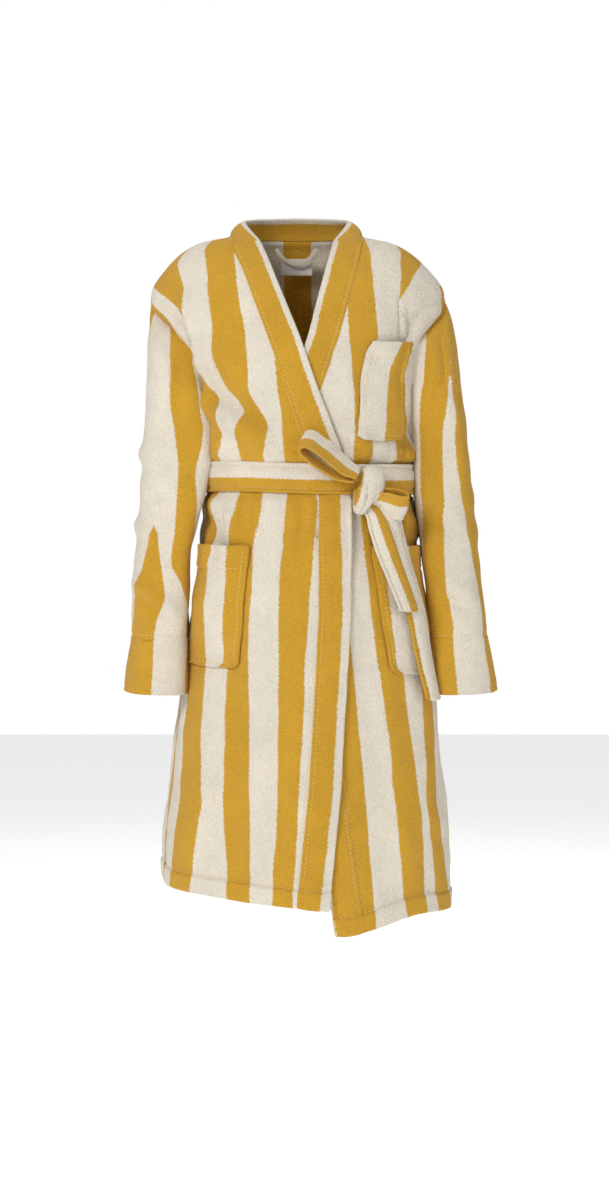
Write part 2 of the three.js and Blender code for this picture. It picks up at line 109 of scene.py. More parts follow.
def section(drop):
    """Centre, half width, front depth and back depth at a drop."""
    xs, ys = SECTIONS[:, 0], SECTIONS[:, 1:]
    x = np.asarray(drop, float)
    i = np.clip(np.searchsorted(xs, x, side="right"), 1, len(xs) - 1)
    first, last = i < 2, i + 1 >= len(xs)
    t0, t1 = xs[i - 1], xs[i]
    before = np.where(first, 2 * t0 - t1, xs[np.clip(i - 2, 0, None)])
    after = np.where(last, 2 * t1 - t0, xs[np.clip(i + 1, None, len(xs) - 1)])
    ib, ia = np.where(first, i, i - 2), np.where(last, i - 1, np.clip(i + 1, None, len(xs) - 1))
    half = (t1 - t0) / 2
    wb, wa = half / (t0 - before), half / (after - t1)
    p = (x - t0) / (t1 - t0)
    q, r = p * p, p * p * p
    sb = -wb * r + 2 * wb * q - wb * p
    s0 = (1 + wb) * r + (-1.5 - 2 * wb) * q + (wb - 0.5) * p + 1
    s1 = (-1 - wa) * r + (1.5 + wa) * q + 0.5 * p
    sa = wa * r - wa * q
    return [sb * y[ib] + s0 * y[i - 1] + s1 * y[i] + sa * y[ia] for y in ys.T]


def body(drop, angle, out=0.0):
    """A point of the body's form, or of a surface that stands out from it."""
    centre, half, front, back = section(drop)
    s, c = np.sin(angle), np.cos(angle)
    x = centre + (half + out) * signed_power(s, SQUARE)
    y = -(np.where(c > 0, front, back) + out) * signed_power(c, SQUARE)
    opened = between(drop, 112, 175, 250, 306) * ease(np.abs(s), 0.80, 0.955)
    y = y - np.sign(c) * ARMHOLE_OPEN * opened
    z = -drop - HEM_TILT * x * ease(drop, WAIST_DROP, HEM_DROP)
    return np.stack(np.broadcast_arrays(x, y, z), -1)


def front_angle(drop, x):
    """The angle at which the front of the body is at an X."""
    centre, half = section(drop)[:2]
    return np.arcsin(signed_power(np.clip((x - centre) / half, -1, 1), 1 / SQUARE))


def side_angle(drop):
    """The edge of the front or back: shoulder seam, armhole, side seam."""
    seam = np.pi / 2 - 0.6 / section(drop)[1]
    return seam + (ARMHOLE_ANGLE - seam) * between(drop, TIP_DROP, ARMPIT_DROP, 270, UNDERARM_DROP)


def right_lift(angle, drop):
    """The right front lies one layer further out where the left front is under it."""
    edge = along(LEFT_EDGE, drop)
    return LAYER * ease(angle, front_angle(drop, edge - 110), front_angle(drop, edge - 35))


def corner_fall(drop, x):
    """How much lower the left front hangs towards its free corner."""
    reach = ease(drop, 640, HEM_DROP)
    return UNDER_CORNER * reach * (1 - ease(x, along(LEFT_EDGE, HEM_DROP), LEFT_FOLD_HEM))


# ---------------------------------------------------------------- folds
WAVES = [(dice.normal(size=(14, 3)), dice.uniform(0, 6.28, 14)) for _ in range(6)]
CREASE_GAIN = 1.4  # how much the heights in the crease tables are raised
CREASE_FADE = 0.25  # share of a crease that fades out at each of its ends
FRONT_FLOOR, FRONT_FLOOR_EASE = -6.0, 4.4  # how far folds sink, and how much less over a layer
BACK_FLOOR, SLEEVE_FLOOR = -2.0, -4.0


def rumple(points, length, layer=0):
    """Soft random undulation, about -1 to 1, with crests about `length` mm apart."""
    ways, turns = WAVES[layer]
    ways = ways / np.linalg.norm(ways, axis=1, keepdims=True)
    phase = points @ (ways.T * 6.28 / length * np.linspace(0.7, 1.45, 14)) + turns
    return np.sin(phase).sum(-1) / 5.0


def near(x, z, line, width, lip):
    """Nearness to a crease, from 0 to 1, in the front view. A lip falls off sharply on its left."""
    line = np.array(line, float)
    cuts = np.linalg.norm(np.diff(line, axis=0), axis=1)
    total, start = cuts.sum(), 0.0
    best = np.full(np.shape(x), 1e9)
    share, side = np.zeros(np.shape(x)), np.zeros(np.shape(x))
    for (a, b), cut in zip(zip(line[:-1], line[1:]), cuts):
        d = (b - a) / cut
        t = np.clip(((x - a[0]) * d[0] + (z - a[1]) * d[1]) / cut, 0, 1)
        ex, ez = x - a[0] - t * cut * d[0], z - a[1] - t * cut * d[1]
        gap = np.hypot(ex, ez)
        closer = gap < best
        best = np.where(closer, gap, best)
        share = np.where(closer, (start + t * cut) / total, share)
        side = np.where(closer, np.sign(d[0] * ez - d[1] * ex), side)
        start += cut
    taper = between(share, 0, CREASE_FADE, 1 - CREASE_FADE, 1)
    if lip:
        signed = best * side
        return ease(signed, -lip, lip) * bell(np.maximum(signed, 0), 0, width) * taper
    return bell(best, 0, width) * taper


def cinch(drop, turn, seed):
    """Cloth blousing above the belt and gathered below it."""
    above, below = 9.0 * between(drop, 255, 345, 352, 368), 4.0 * between(drop, 408, 424, 430, 560)
    pleats = np.sin(turn * 34 + 3 * np.sin(turn * 5 + seed)) + 0.6 * np.sin(turn * 57 + seed * 2)
    gather = 2.0 * between(drop, 410, 432, 440, 560) + 1.3 * between(drop, 320, 350, 350, 366)
    return above + below + gather * pleats


def skirt_waves(drop, turn, size, count, seed):
    swing = np.sin(turn * count + seed + 0.8 * np.sin(turn * 2 + seed))
    return size * swing * ease(drop, 440, 1000)


RIGHT_CREASES = [  # points (x, z), height, width, lip
    ([(-200, -92), (-190, -108), (-177, -132), (-168, -160), (-157, -192), (-149, -240)], 9, 42, 5),
    ([(-226, -96), (-205, -112), (-184, -136), (-168, -150)], -5, 9, 0),
    ([(-166, -252), (-140, -276), (-106, -292), (-76, -312), (-50, -332)], 9, 15, 0),
    ([(-152, -240), (-126, -262), (-96, -272), (-60, -296), (-30, -318)], -5, 10, 0),
    ([(-110, -318), (-114, -340), (-110, -360)], 5, 7, 0),
    ([(-86, -322), (-92, -345), (-88, -362)], -3, 6, 0),
    ([(-45, -310), (-52, -335), (-50, -362)], 4, 9, 0),
    ([(-120, -150), (-105, -215), (-96, -262)], 3, 16, 0),
    ([(-70, -120), (-62, -200), (-54, -262)], -2, 14, 0),
    ([(-36, -498), (-10, -488), (20, -478), (44, -470)], -3, 6, 0),
    ([(-34, -484), (-6, -476), (24, -467)], 3, 7, 0),
    ([(-140, -412), (-118, -432), (-92, -456), (-98, -500)], 5, 12, 0),
    ([(-150, -436), (-128, -468), (-112, -520)], -4, 10, 0),
    ([(-60, -560), (-66, -700), (-64, -860), (-70, -1020)], 4, 22, 0),
    ([(-20, -520), (-24, -700), (-30, -900), (-34, -1040)], -3, 18, 0),
    ([(-130, -700), (-146, -860), (-166, -1030)], 5, 24, 0),
    ([(10, -600), (6, -760), (-2, -1040)], 3, 20, 0),
]
LEFT_CREASES = [
    ([(154, -96), (154.5, -130), (155, -182)], -3.2, 2.6, 0),
    ([(160, -100), (160.5, -140), (161, -180)], 2.0, 4.5, 0),
    ([(167, -128), (167.5, -160), (168, -196)], -3.4, 2.6, 0),
    ([(232, -100), (206, -116), (190, -130), (172, -150)], -4, 8, 0),
    ([(112, -334), (128, -350), (140, -364)], 4, 8, 0),
    ([(186, -330), (168, -350), (150, -362)], 6, 11, 0),
    ([(176, -300), (160, -322), (146, -346)], -4, 9, 0),
    ([(86, -300), (92, -330), (88, -362)], 3, 8, 0),
    ([(60, -170), (72, -240), (80, -300)], 3, 14, 0),
    ([(112, -560), (134, -740), (158, -900), (176, -1050)], 5, 24, 0),
    ([(90, -600), (106, -760), (128, -940), (140, -1070)], -3, 18, 0),
    ([(170, -500), (180, -700), (205, -900), (222, -1050)], 4, 22, 0),
    ([(150, -440), (168, -458), (182, -490)], 5, 10, 0),
]


def creased(x, z, creases):
    return sum(CREASE_GAIN * height * near(x, z, line, width, lip)
               for line, height, width, lip in creases)


def clear_of_belt(drop):
    """0 under the belt, where the cloth is pressed flat, and 1 away from it."""
    return 1 - between(drop, 356, 366, 411, 420)


def soft_floor(value, floor):
    """A fold may stand out freely, but it sinks no further than the floor."""
    return np.where(value > 0, value, floor * np.tanh(value / floor))


def front_folds(p, drop, angle, creases, rumples, wave_seed, cinch_seed):
    """All the folds of a front at points p. Its two rumples are given as (length, layer)."""
    folds = creased(p[..., 0], p[..., 2], creases) + skirt_waves(drop, angle, 4.5, 5, wave_seed)
    folds = folds + sum(size * rumple(p, *how) for size, how in zip((2.4, 1.1), rumples))
    return (folds + cinch(drop, angle, cinch_seed)) * clear_of_belt(drop)


def right_out(drop, angle):
    p, lift = body(drop, angle), right_lift(angle, drop)
    folds = front_folds(p, drop, angle, RIGHT_CREASES, ((150, 0), (46, 1)), 1.2, 0.4)
    return lift + soft_floor(folds, FRONT_FLOOR + FRONT_FLOOR_EASE * lift / LAYER)


def left_out(drop, angle):
    p, edge = body(drop, angle), along(RIGHT_EDGE, drop)
    folds = front_folds(p, drop, angle, LEFT_CREASES, ((140, 2), (44, 3)), 2.1, 1.9)
    covered = (1 - ease(p[..., 0], edge - 8, edge + 30)) * ease(drop, 150, 190)
    return soft_floor(folds * (1 - covered), FRONT_FLOOR)  # under the right front it lies flat


def back_out(drop, angle):
    p = body(drop, angle)
    turn = np.mod(angle, 2 * np.pi) - np.pi
    spine = 3 * bell(turn, 0, 0.16) * ease(drop, 90, 200)
    blades = 5 * bell(np.abs(turn), 0.62, 0.3) * between(drop, 60, 150, 170, 300)
    loose = skirt_waves(drop, turn, 9, 6, 0.5) + 2.2 * rumple(p, 150, 4) + 0.8 * rumple(p, 48, 5)
    loose = loose + cinch(drop, turn, 1.1) + spine + blades
    return soft_floor(loose * clear_of_belt(drop), BACK_FLOOR)


# ---------------------------------------------------------------- cloth with a thickness
EDGE_TURNS = [math.radians(a) for a in (50, 0, -50)]  # rows of a rounded edge, face to lining


def unit(v):
    return v / np.maximum(np.linalg.norm(v, axis=-1, keepdims=True), 1e-9)


def normals_of(grid, wrap, centre):
    if wrap:
        du = np.roll(grid, -1, 1) - np.roll(grid, 1, 1)
    else:
        du = np.gradient(grid, axis=1)
    n = unit(np.cross(du, np.gradient(grid, axis=0)))
    outward = (n * (grid - centre)).sum(-1).mean()
    return n if outward > 0 else -n


def edge_ring(rows, cols):
    """The grid's border as (row, column) pairs, in order."""
    ring = [(0, c) for c in range(cols)] + [(r, cols - 1) for r in range(1, rows)]
    ring += [(rows - 1, c) for c in range(cols - 2, -1, -1)]
    return ring + [(r, 0) for r in range(rows - 2, 0, -1)]


def sewn(name, grid, stripe, thick, wrap=False, centre=(0, 0, -500), threads=(), sink=0,
         material=None, body_name="robe", stands_for=()):
    """A piece of cloth from a grid of lining points: its face, its lining and rounded edges.
    stripe is how far inside a mustard stripe each point is, threads are lines of stitches given
    as (rows, columns) paths over the face, and sink lowers the face along its seams. stripe,
    thick and sink are numbers, or arrays that broadcast to the grid."""
    rows, cols = grid.shape[:2]
    normal = normals_of(grid, wrap, np.array(centre, float))
    stripe = np.broadcast_to(stripe, (rows, cols))
    face = grid + normal * np.broadcast_to(thick - sink, (rows, cols))[..., None]
    verts = [face.reshape(-1, 3), grid.reshape(-1, 3)]
    tones = [stripe.ravel(), stripe.ravel()]
    number = np.arange(rows * cols).reshape(rows, cols)
    right = np.roll(number, -1, 1) if wrap else number[:, 1:]
    left = number if wrap else number[:, :-1]
    quads = np.stack([left[:-1], right[:-1], right[1:], left[1:]], -1).reshape(-1, 4)
    faces = quads.tolist() + (quads[:, ::-1] + rows * cols).tolist()
    if wrap:
        rings = [([(r, c) for c in range(cols)], grid[k]) for r, k in ((0, 1), (rows - 1, rows - 2))]
    else:
        rings = [(edge_ring(rows, cols), None)]
    for ring, inner in rings:
        r, c = np.array(ring).T
        edge, half = grid[r, c], (face[r, c] - grid[r, c]) / 2
        if inner is None:
            inr, inc = np.clip(r, 1, rows - 2), np.clip(c, 1, cols - 2)
            out = unit(unit(edge - grid[inr, c] + 1e-9 * half) * (inr != r)[:, None]
                       + unit(edge - grid[r, inc] + 1e-9 * half) * (inc != c)[:, None])
        else:
            out = unit(edge - inner)
        size = np.linalg.norm(half, axis=1, keepdims=True)
        first, n = sum(len(v) for v in verts), len(ring)
        for a in EDGE_TURNS:
            verts.append(edge + half + half * math.sin(a) + out * size * math.cos(a))
            tones.append(stripe[r, c])
        loops = [number[r, c], *(first + k * n + np.arange(n) for k in range(len(EDGE_TURNS))),
                 number[r, c] + rows * cols]
        for a, b in zip(loops[:-1], loops[1:]):
            faces += np.stack([a, b, np.roll(b, -1), np.roll(a, -1)], -1).tolist()
    slots = [0] * len(faces)
    for path in threads:
        dots, quads = stitches(face, normal, *path, wrap)
        faces += (quads + sum(len(v) for v in verts)).tolist()
        slots += [1] * len(quads)
        verts.append(dots)
        tones.append(np.zeros(len(dots)))
    mesh = bpy.data.meshes.new(name)
    mesh.from_pydata((np.concatenate(verts) * MM).tolist(), [], faces)
    mesh.attributes.new("stripe", "FLOAT", "POINT").data.foreach_set(
        "value", np.concatenate(tones).astype(np.float32) * MM)
    mesh.materials.append(material or TERRY)
    if threads:
        mesh.materials.append(THREAD)
        mesh.polygons.foreach_set("material_index", slots)
    piece = bpy.data.objects.new(name, mesh)
    bpy.context.scene.collection.objects.link(piece)
    tidy(piece)
    piece["area"] = grid_area(grid, wrap)
    if body_name:
        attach(piece, body_name)
    if stands_for:
        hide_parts(*stands_for)
    return piece


def tidy(piece):
    bpy.ops.object.select_all(action="DESELECT")
    bpy.context.view_layer.objects.active = piece
    piece.select_set(True)
    bpy.ops.object.mode_set(mode="EDIT")
    bpy.ops.mesh.select_all(action="SELECT")
    bpy.ops.mesh.remove_doubles(threshold=0.00001)
    bpy.ops.mesh.select_all(action="SELECT")
    bpy.ops.mesh.normals_make_consistent(inside=False)
    bpy.ops.object.mode_set(mode="OBJECT")
    bpy.ops.object.shade_smooth()
    piece.select_set(False)


def grid_area(grid, wrap):
    if wrap:
        grid = np.concatenate([grid, grid[:, :1]], 1)
    a, b = grid[1:, 1:] - grid[:-1, :-1], grid[1:, :-1] - grid[:-1, 1:]
    return float(np.linalg.norm(np.cross(a, b), axis=-1).sum() / 2) * MM * MM


def sample(grid, r, c, wrap):
    rows, cols = grid.shape[:2]
    r = np.clip(r, 0, rows - 1.001)
    c = np.mod(c, cols) if wrap else np.clip(c, 0, cols - 1.001)
    i, j = r.astype(int), c.astype(int)
    k = (j + 1) % cols if wrap else j + 1
    p, q = (r - i)[:, None], (c - j)[:, None]
    return ((grid[i, j] * (1 - q) + grid[i, k] * q) * (1 - p)
            + (grid[i + 1, j] * (1 - q) + grid[i + 1, k] * q) * p)


STITCH_LENGTH, STITCH_PITCH, STITCH_WIDTH = 4.6, 6.6, 1.0
STITCH_RINGS = [  # share of the length, fatness, rise
    (0, 0.35, -0.7), (0.25, 1, 0.15), (0.75, 1, 0.15), (1, 0.35, -0.7)]
STITCH_CAPS = [(0, (0, 3, 4, 5)), (0, (0, 1, 2, 3)), (18, (0, 1, 2, 3)), (18, (0, 3, 4, 5))]


def stitches(face, normal, rows_at, cols_at, wrap):
    """Short threads lying on the face along a path of grid rows and columns."""
    path = sample(face, rows_at, cols_at, wrap)
    up = unit(sample(normal, rows_at, cols_at, wrap))
    gone = run_of(path)
    verts, quads = [], []
    for s in np.arange(STITCH_PITCH / 2, gone[-1] - STITCH_LENGTH, STITCH_PITCH):
        ends = [np.array([np.interp(s + STITCH_LENGTH * share, gone, path[:, k]) for k in range(3)])
                for share, _, _ in STITCH_RINGS]
        n = np.array([np.interp(s, gone, up[:, k]) for k in range(3)])
        across = unit(np.cross(unit(ends[3] - ends[0]), n))
        base = len(verts)
        for point, (_, fat, rise) in zip(ends, STITCH_RINGS):
            for a in np.arange(6) * math.pi / 3:
                ring = (across * math.cos(a) + n * math.sin(a)) * STITCH_WIDTH / 2 * fat
                verts.append(point + n * rise * STITCH_WIDTH / 2 + ring)
        for lo in (base, base + 6, base + 12):
            for a in range(6):
                b = (a + 1) % 6
                quads.append([lo + a, lo + b, lo + 6 + b, lo + 6 + a])
        quads += [[base + end + a for a in corners] for end, corners in STITCH_CAPS]
    return np.array(verts).reshape(-1, 3), np.array(quads, int).reshape(-1, 4)


def on_row(row, cols):
    """A path of stitches along a row of a grid."""
    return np.full(len(cols), float(row)), cols


def on_column(column, rows):
    return rows, np.full(len(rows), float(column))


# ---------------------------------------------------------------- stripes
def arcs(grid, start_column=0):
    """Length along each row of a grid, in mm, from a column."""
    steps = np.linalg.norm(np.diff(grid, axis=1), axis=2)
    run = np.concatenate([np.zeros((len(grid), 1)), np.cumsum(steps, 1)], 1)
    return run - run[:, start_column:start_column + 1]


def inside(place, low, high):
    """How far inside a stripe from low to high a place is; below zero outside it."""
    narrow = np.maximum(0, 4 - (high - low))
    return np.minimum(place - low, high - place) - narrow


def striped(place, pairs):
    return np.maximum.reduce([inside(place, lo, hi) for lo, hi in pairs])


def arc_of(xs, grid, run):
    """The arc place of an X on each row."""
    return np.array([np.interp(x, row[:, 0], a) for x, row, a in zip(xs, grid, run)])[:, None]


# ---------------------------------------------------------------- finishes
def group(name, inputs, outputs):
    tree = bpy.data.node_groups.new(name, "ShaderNodeTree")
    for label, kind in inputs:
        tree.interface.new_socket(label, in_out="INPUT", socket_type=kind)
    for label, kind in outputs:
        tree.interface.new_socket(label, in_out="OUTPUT", socket_type=kind)
    return tree, tree.nodes.new("NodeGroupInput"), tree.nodes.new("NodeGroupOutput")


def fill(tree, node, inputs):
    """Gives each input, by name or number, a value or another node's output."""
    for socket, given in inputs.items():
        if isinstance(given, bpy.types.NodeSocket):
            tree.links.new(given, node.inputs[socket])
        else:
            node.inputs[socket].default_value = given


def add(tree, kind, inputs=(), **settings):
    node = tree.nodes.new(kind)
    for key, value in settings.items():
        setattr(node, key, value)
    fill(tree, node, dict(inputs))
    return node


def maths(tree, operation, first, second):
    return add(tree, "ShaderNodeMath", {0: first, 1: second}, operation=operation).outputs[0]


def spread(tree, source, low, high, to_low, to_high):
    return add(tree, "ShaderNodeMapRange",
               {0: source, 1: low, 2: high, 3: to_low, 4: to_high}).outputs[0]


def noise(tree, place, scale, detail=2.0):
    return add(tree, "ShaderNodeTexNoise",
               {"Vector": place, "Scale": scale, "Detail": detail}).outputs[0]


def pile_group():
    """Terry loops: their height, and their Shade: painted shade and highlight that follow that height
    (loop tops lighter, dips between loops darker), times a random patchy tone of the cloth.
    """
    tree, given, made = group(
        "terry_pile", [("Position", "NodeSocketVector"), ("Scale", "NodeSocketFloat")],
        [("Height", "NodeSocketFloat"), ("Shade", "NodeSocketFloat")])
    place, scale = given.outputs["Position"], given.outputs["Scale"]
    loops = add(tree, "ShaderNodeTexVoronoi", {"Vector": place, "Scale": scale}, feature="SMOOTH_F1")
    fuzz = noise(tree, place, maths(tree, "MULTIPLY", scale, 2.3), 3.0)
    worn = noise(tree, place, maths(tree, "MULTIPLY", scale, 0.055), 4.0)
    height = maths(tree, "ADD", maths(tree, "MULTIPLY", loops.outputs["Distance"], -0.9), fuzz)
    # painted shade and highlight on the pile: lighter where the loops stand high, darker in the dips
    # between them
    painted_pile_shade = spread(tree, height, -0.4, 0.5, 0.87, 1.09)
    patch = spread(tree, worn, 0.3, 0.7, 0.95, 1.05)
    fill(tree, made, {"Height": height, "Shade": maths(tree, "MULTIPLY", painted_pile_shade, patch)})
    return tree


def stripe_group():
    """The mask of the mustard stripe, with the slightly ragged edge of pile."""
    tree, given, made = group(
        "stripe_edge", [("Position", "NodeSocketVector"), ("Stripe", "NodeSocketFloat")],
        [("Mask", "NodeSocketFloat")])
    wander = maths(tree, "SUBTRACT", noise(tree, given.outputs["Position"], 420.0), 0.5)
    moved = maths(tree, "ADD", given.outputs["Stripe"], maths(tree, "MULTIPLY", wander, 0.006))
    fill(tree, made, {"Mask": spread(tree, moved, -0.0006, 0.0006, 0.0, 1.0)})
    return tree


def cloth_material(name, high, low, scale, bump, sheen, roughness=0.94):
    """Cloth in two tones: `high` inside the stripe attribute and `low` outside it."""
    made = bpy.data.materials.new(name)
    made.use_nodes = True
    tree = made.node_tree
    place = add(tree, "ShaderNodeTexCoord").outputs["Object"]
    stripe = add(tree, "ShaderNodeAttribute", attribute_name="stripe").outputs["Fac"]
    pile, mask = (add(tree, "ShaderNodeGroup", node_tree=kind) for kind in (PILE, STRIPE))
    fill(tree, pile, {"Position": place, "Scale": scale})
    fill(tree, mask, {"Position": place, "Stripe": stripe})
    tones = add(tree, "ShaderNodeMix", {0: mask.outputs["Mask"], 6: (*low, 1), 7: (*high, 1)},
                data_type="RGBA")
    # the pile's Shade paints shade and highlight over the loops, with a random patchy tone, into the
    # base colour
    toned = add(tree, "ShaderNodeVectorMath", {0: tones.outputs[2], 1: pile.outputs["Shade"]},
                operation="MULTIPLY")
    lift = add(tree, "ShaderNodeBump",
               {"Height": pile.outputs["Height"], "Strength": bump, "Distance": 0.0024})
    fill(tree, tree.nodes["Principled BSDF"], {
        "Base Color": toned.outputs[0], "Normal": lift.outputs[0], "Roughness": roughness,
        "Specular IOR Level": 0.15, "Sheen Weight": sheen, "Sheen Roughness": 0.6})
    return made


MUSTARD = (0.65, 0.350, 0.024)
CREAM = (0.83, 0.755, 0.625)
PILE = pile_group()
STRIPE = stripe_group()
TERRY = cloth_material("striped_terry", MUSTARD, CREAM, 340, 0.9, 0.12)
THREAD = cloth_material("stitching_thread", (0.80, 0.60, 0.25), (0.80, 0.62, 0.30), 1500, 0.3, 0.05)
TAPE = cloth_material("cotton_tape", (0.80, 0.72, 0.58), (0.78, 0.70, 0.56), 1300, 0.5, 0.1)
LABEL = cloth_material("label_satin", (0.78, 0.77, 0.74), (0.86, 0.85, 0.82), 1800, 0.25, 0.3,
                       roughness=0.45)


# ---------------------------------------------------------------- camera, lights, floor
CAMERA_PLACE, CAMERA_TARGET = (0.007, -4.0, -0.386), (0.007, 0.0, -0.582)
FLOOR_SIZE, FLOOR_Z = 14, -1.52
scene = bpy.context.scene


def aim(thing, place, target):
    """Puts a camera or lamp into the scene, looking from a place at a target."""
    thing.location = place
    thing.rotation_euler = (Vector(target) - Vector(place)).to_track_quat("-Z", "Y").to_euler()
    scene.collection.objects.link(thing)


camera = bpy.data.objects.new("camera", bpy.data.cameras.new("camera"))
aim(camera, CAMERA_PLACE, CAMERA_TARGET)
camera.data.sensor_fit = "VERTICAL"
camera.data.sensor_height = 36
camera.data.lens = 75
camera.data.clip_end = 60
scene.camera = camera
scene.view_settings.view_transform = "Standard"

for name, place, height, power, size in [
        ("key", (-2.1, -3.2, 1.5), -0.5, 87, 1.3), ("fill", (2.6, -2.8, 0.3), -0.5, 22.5, 2.2),
        ("top", (0.2, 0.2, 2.8), -0.5, 22.5, 1.6), ("rear", (0.4, 3.0, 1.2), -0.4, 24, 2.4)]:
    lamp = bpy.data.lights.new(name, "AREA")
    lamp.energy, lamp.size = power, size
    aim(bpy.data.objects.new(name, lamp), place, (0, 0, height))

world = bpy.data.worlds.new("studio")
world.use_nodes = True
sky = world.node_tree
seen = add(sky, "ShaderNodeLightPath").outputs["Is Camera Ray"]
fill(sky, sky.nodes["Background"], {0: (1, 1, 1, 1), 1: spread(sky, seen, 0.0, 1.0, 0.31, 1.0)})
scene.world = world


def studio_floor():
    bpy.ops.object.select_all(action="DESELECT")
    bpy.ops.mesh.primitive_plane_add(size=FLOOR_SIZE, location=(0, 0, FLOOR_Z))
    floor = bpy.context.object
    floor.name = "floor"
    bpy.ops.object.mode_set(mode="EDIT")
    bpy.ops.mesh.select_all(action="SELECT")
    bpy.ops.mesh.subdivide(number_cuts=3)
    bpy.ops.object.mode_set(mode="OBJECT")
    pale = bpy.data.materials.new("pale_floor")
    pale.use_nodes = True
    tree = pale.node_tree
    grain = noise(tree, add(tree, "ShaderNodeTexCoord").outputs["Object"], 3.0)
    fill(tree, tree.nodes["Principled BSDF"], {
        "Base Color": spread(tree, grain, 0.0, 1.0, 0.93, 0.96), "Roughness": 0.9,
        "Emission Color": (1, 1, 1, 1), "Emission Strength": 0.5})
    floor.data.materials.append(pale)


studio_floor()


# ---------------------------------------------------------------- back and fronts
HEM_STITCH = HEM_DROP - HEM_DEPTH
HEM_MARKS = [HEM_STITCH + step for step in (-4, -2, 0, 2, 4)]
ROW_STEP, BACK_ROW_STEP, LEAST_STEP = 5.6, 6.0, 0.9
STITCHES_FROM, STITCHES_SHORT = 24, (8, 6)  # seams start at this drop and end above the hem stitch


def rows_between(top, bottom, step):
    """Drops of a grid's rows, evenly spaced over the body's surface, with the hem's own rows."""
    dense = np.linspace(top, bottom, 3000)
    run = run_of(body(dense, 1.4))
    drops = np.interp(np.arange(0, run[-1], step), run, dense)
    keep = []
    for d in np.unique(np.concatenate([drops, [bottom], HEM_MARKS])):
        fixed, close = d in HEM_MARKS or d == bottom, bool(keep) and d - keep[-1] < LEAST_STEP
        if fixed and close:
            keep.pop()
        if fixed or not close:
            keep.append(d)
    return np.array(keep)


def turned_up(drop, extra):
    """The extra thickness of the hem, where the cloth is folded up."""
    return extra * ease(drop, HEM_STITCH - 1, HEM_STITCH + 4)


def puffed(share, rim):
    """The thickness of a band at a share of its width."""
    return CLOTH + 1.8 * np.sin(np.pi * np.clip(share, rim, 1 - rim)) ** 0.5


def groove(place, line, depth=1.8, width=2.2):
    return depth * bell(place, line, width)


def row_of(drops, drop, columns, start=0.0):
    """A path along the row at a drop."""
    return on_row(np.interp(drop, drops, np.arange(len(drops))),
                  np.arange(start, columns - 1 - start, 1.0))


def path_at(drops, column, last):
    """A path down a column, from where seams start to a drop."""
    return on_column(column, np.flatnonzero((drops >= STITCHES_FROM) & (drops <= last)).astype(float))


def make_back():
    drops = rows_between(NECK_DROP, HEM_DROP, BACK_ROW_STEP)
    d, shares = drops[:, None], np.linspace(-1, 1, 113)
    angle = np.pi + side_angle(d) * shares
    flat = body(d, angle)
    place = arcs(flat, len(shares) // 2) + 2.0 * rumple(flat, 260, 2)
    pairs = [(k * STRIPE_PAIR - MUSTARD_WIDTH / 2, k * STRIPE_PAIR + MUSTARD_WIDTH / 2)
             for k in range(-5, 6)]
    piece = sewn("back", body(d, angle, back_out(d, angle)), striped(place, pairs),
                 CLOTH + turned_up(d, 2.6), sink=groove(d, HEM_STITCH),
                 threads=[row_of(drops, HEM_STITCH, len(shares), 1)], stands_for=["back_panel"])


def fold_planes(through, way, reach):
    p, w = Vector(through), Vector(way).normalized()
    return tuple(p - w * reach), tuple(p + w * reach)


RIGHT = {"side": -1, "edge": RIGHT_EDGE, "out": right_out, "flap": "right_flap",
         "fold": fold_planes((0.0765, -0.163, -0.425), (0.9271, 0, -0.3748), 0.022)}
LEFT = {"side": 1, "edge": LEFT_EDGE, "out": left_out, "flap": "left_flap",
        "fold": fold_planes((0.208, -0.163, -1.070), (-0.8886, 0, -0.4587), 0.022)}


def make_front(name, front, nodes, pairs_of):
    side, edge, fold = front["side"], front["edge"], front["fold"]
    drops = rows_between(NECK_DROP, HEM_DROP, ROW_STEP)
    d = drops[:, None]
    outer, inner = side * side_angle(d), front_angle(d, along(edge, d) + side * BAND)
    inner = np.where(side * (outer - inner) < 0.05, outer - side * 0.05, inner)
    shares = np.unique(np.concatenate([np.linspace(0, 1, 74), [0.985, 0.993]]))
    angle = outer + (inner - outer) * shares
    flat = body(d, angle)
    grid = body(d, angle, front["out"](d, angle))
    if side > 0:
        grid[..., 2] -= corner_fall(d, flat[..., 0])
    ordered = flat[:, ::-side]
    run = arcs(ordered)
    tone = striped(run[:, ::-side] + 1.2 * rumple(flat, 90, 3), pairs_of(drops, ordered, run))
    width = np.abs(along(edge, d) + side * BAND - flat[..., 0])
    piece = sewn(name, grid, tone, CLOTH + turned_up(d, 2.6),
                 sink=groove(d, HEM_STITCH) + groove(width, 3.5, 0.8),
                 threads=[row_of(drops, HEM_STITCH, len(shares), 1),
                          path_at(drops, len(shares) - 2.2, HEM_STITCH - STITCHES_SHORT[0])],
                 body_name=None, stands_for=nodes)
    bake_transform(piece)


def line_at(table, drops):
    """A stripe's edge, with its corners eased."""
    steps = np.linspace(-1, 1, 7)
    return sum(along(table, drops + 13 * k) * (1 - 0.6 * k * k) for k in steps) / sum(
        1 - 0.6 * k * k for k in steps)


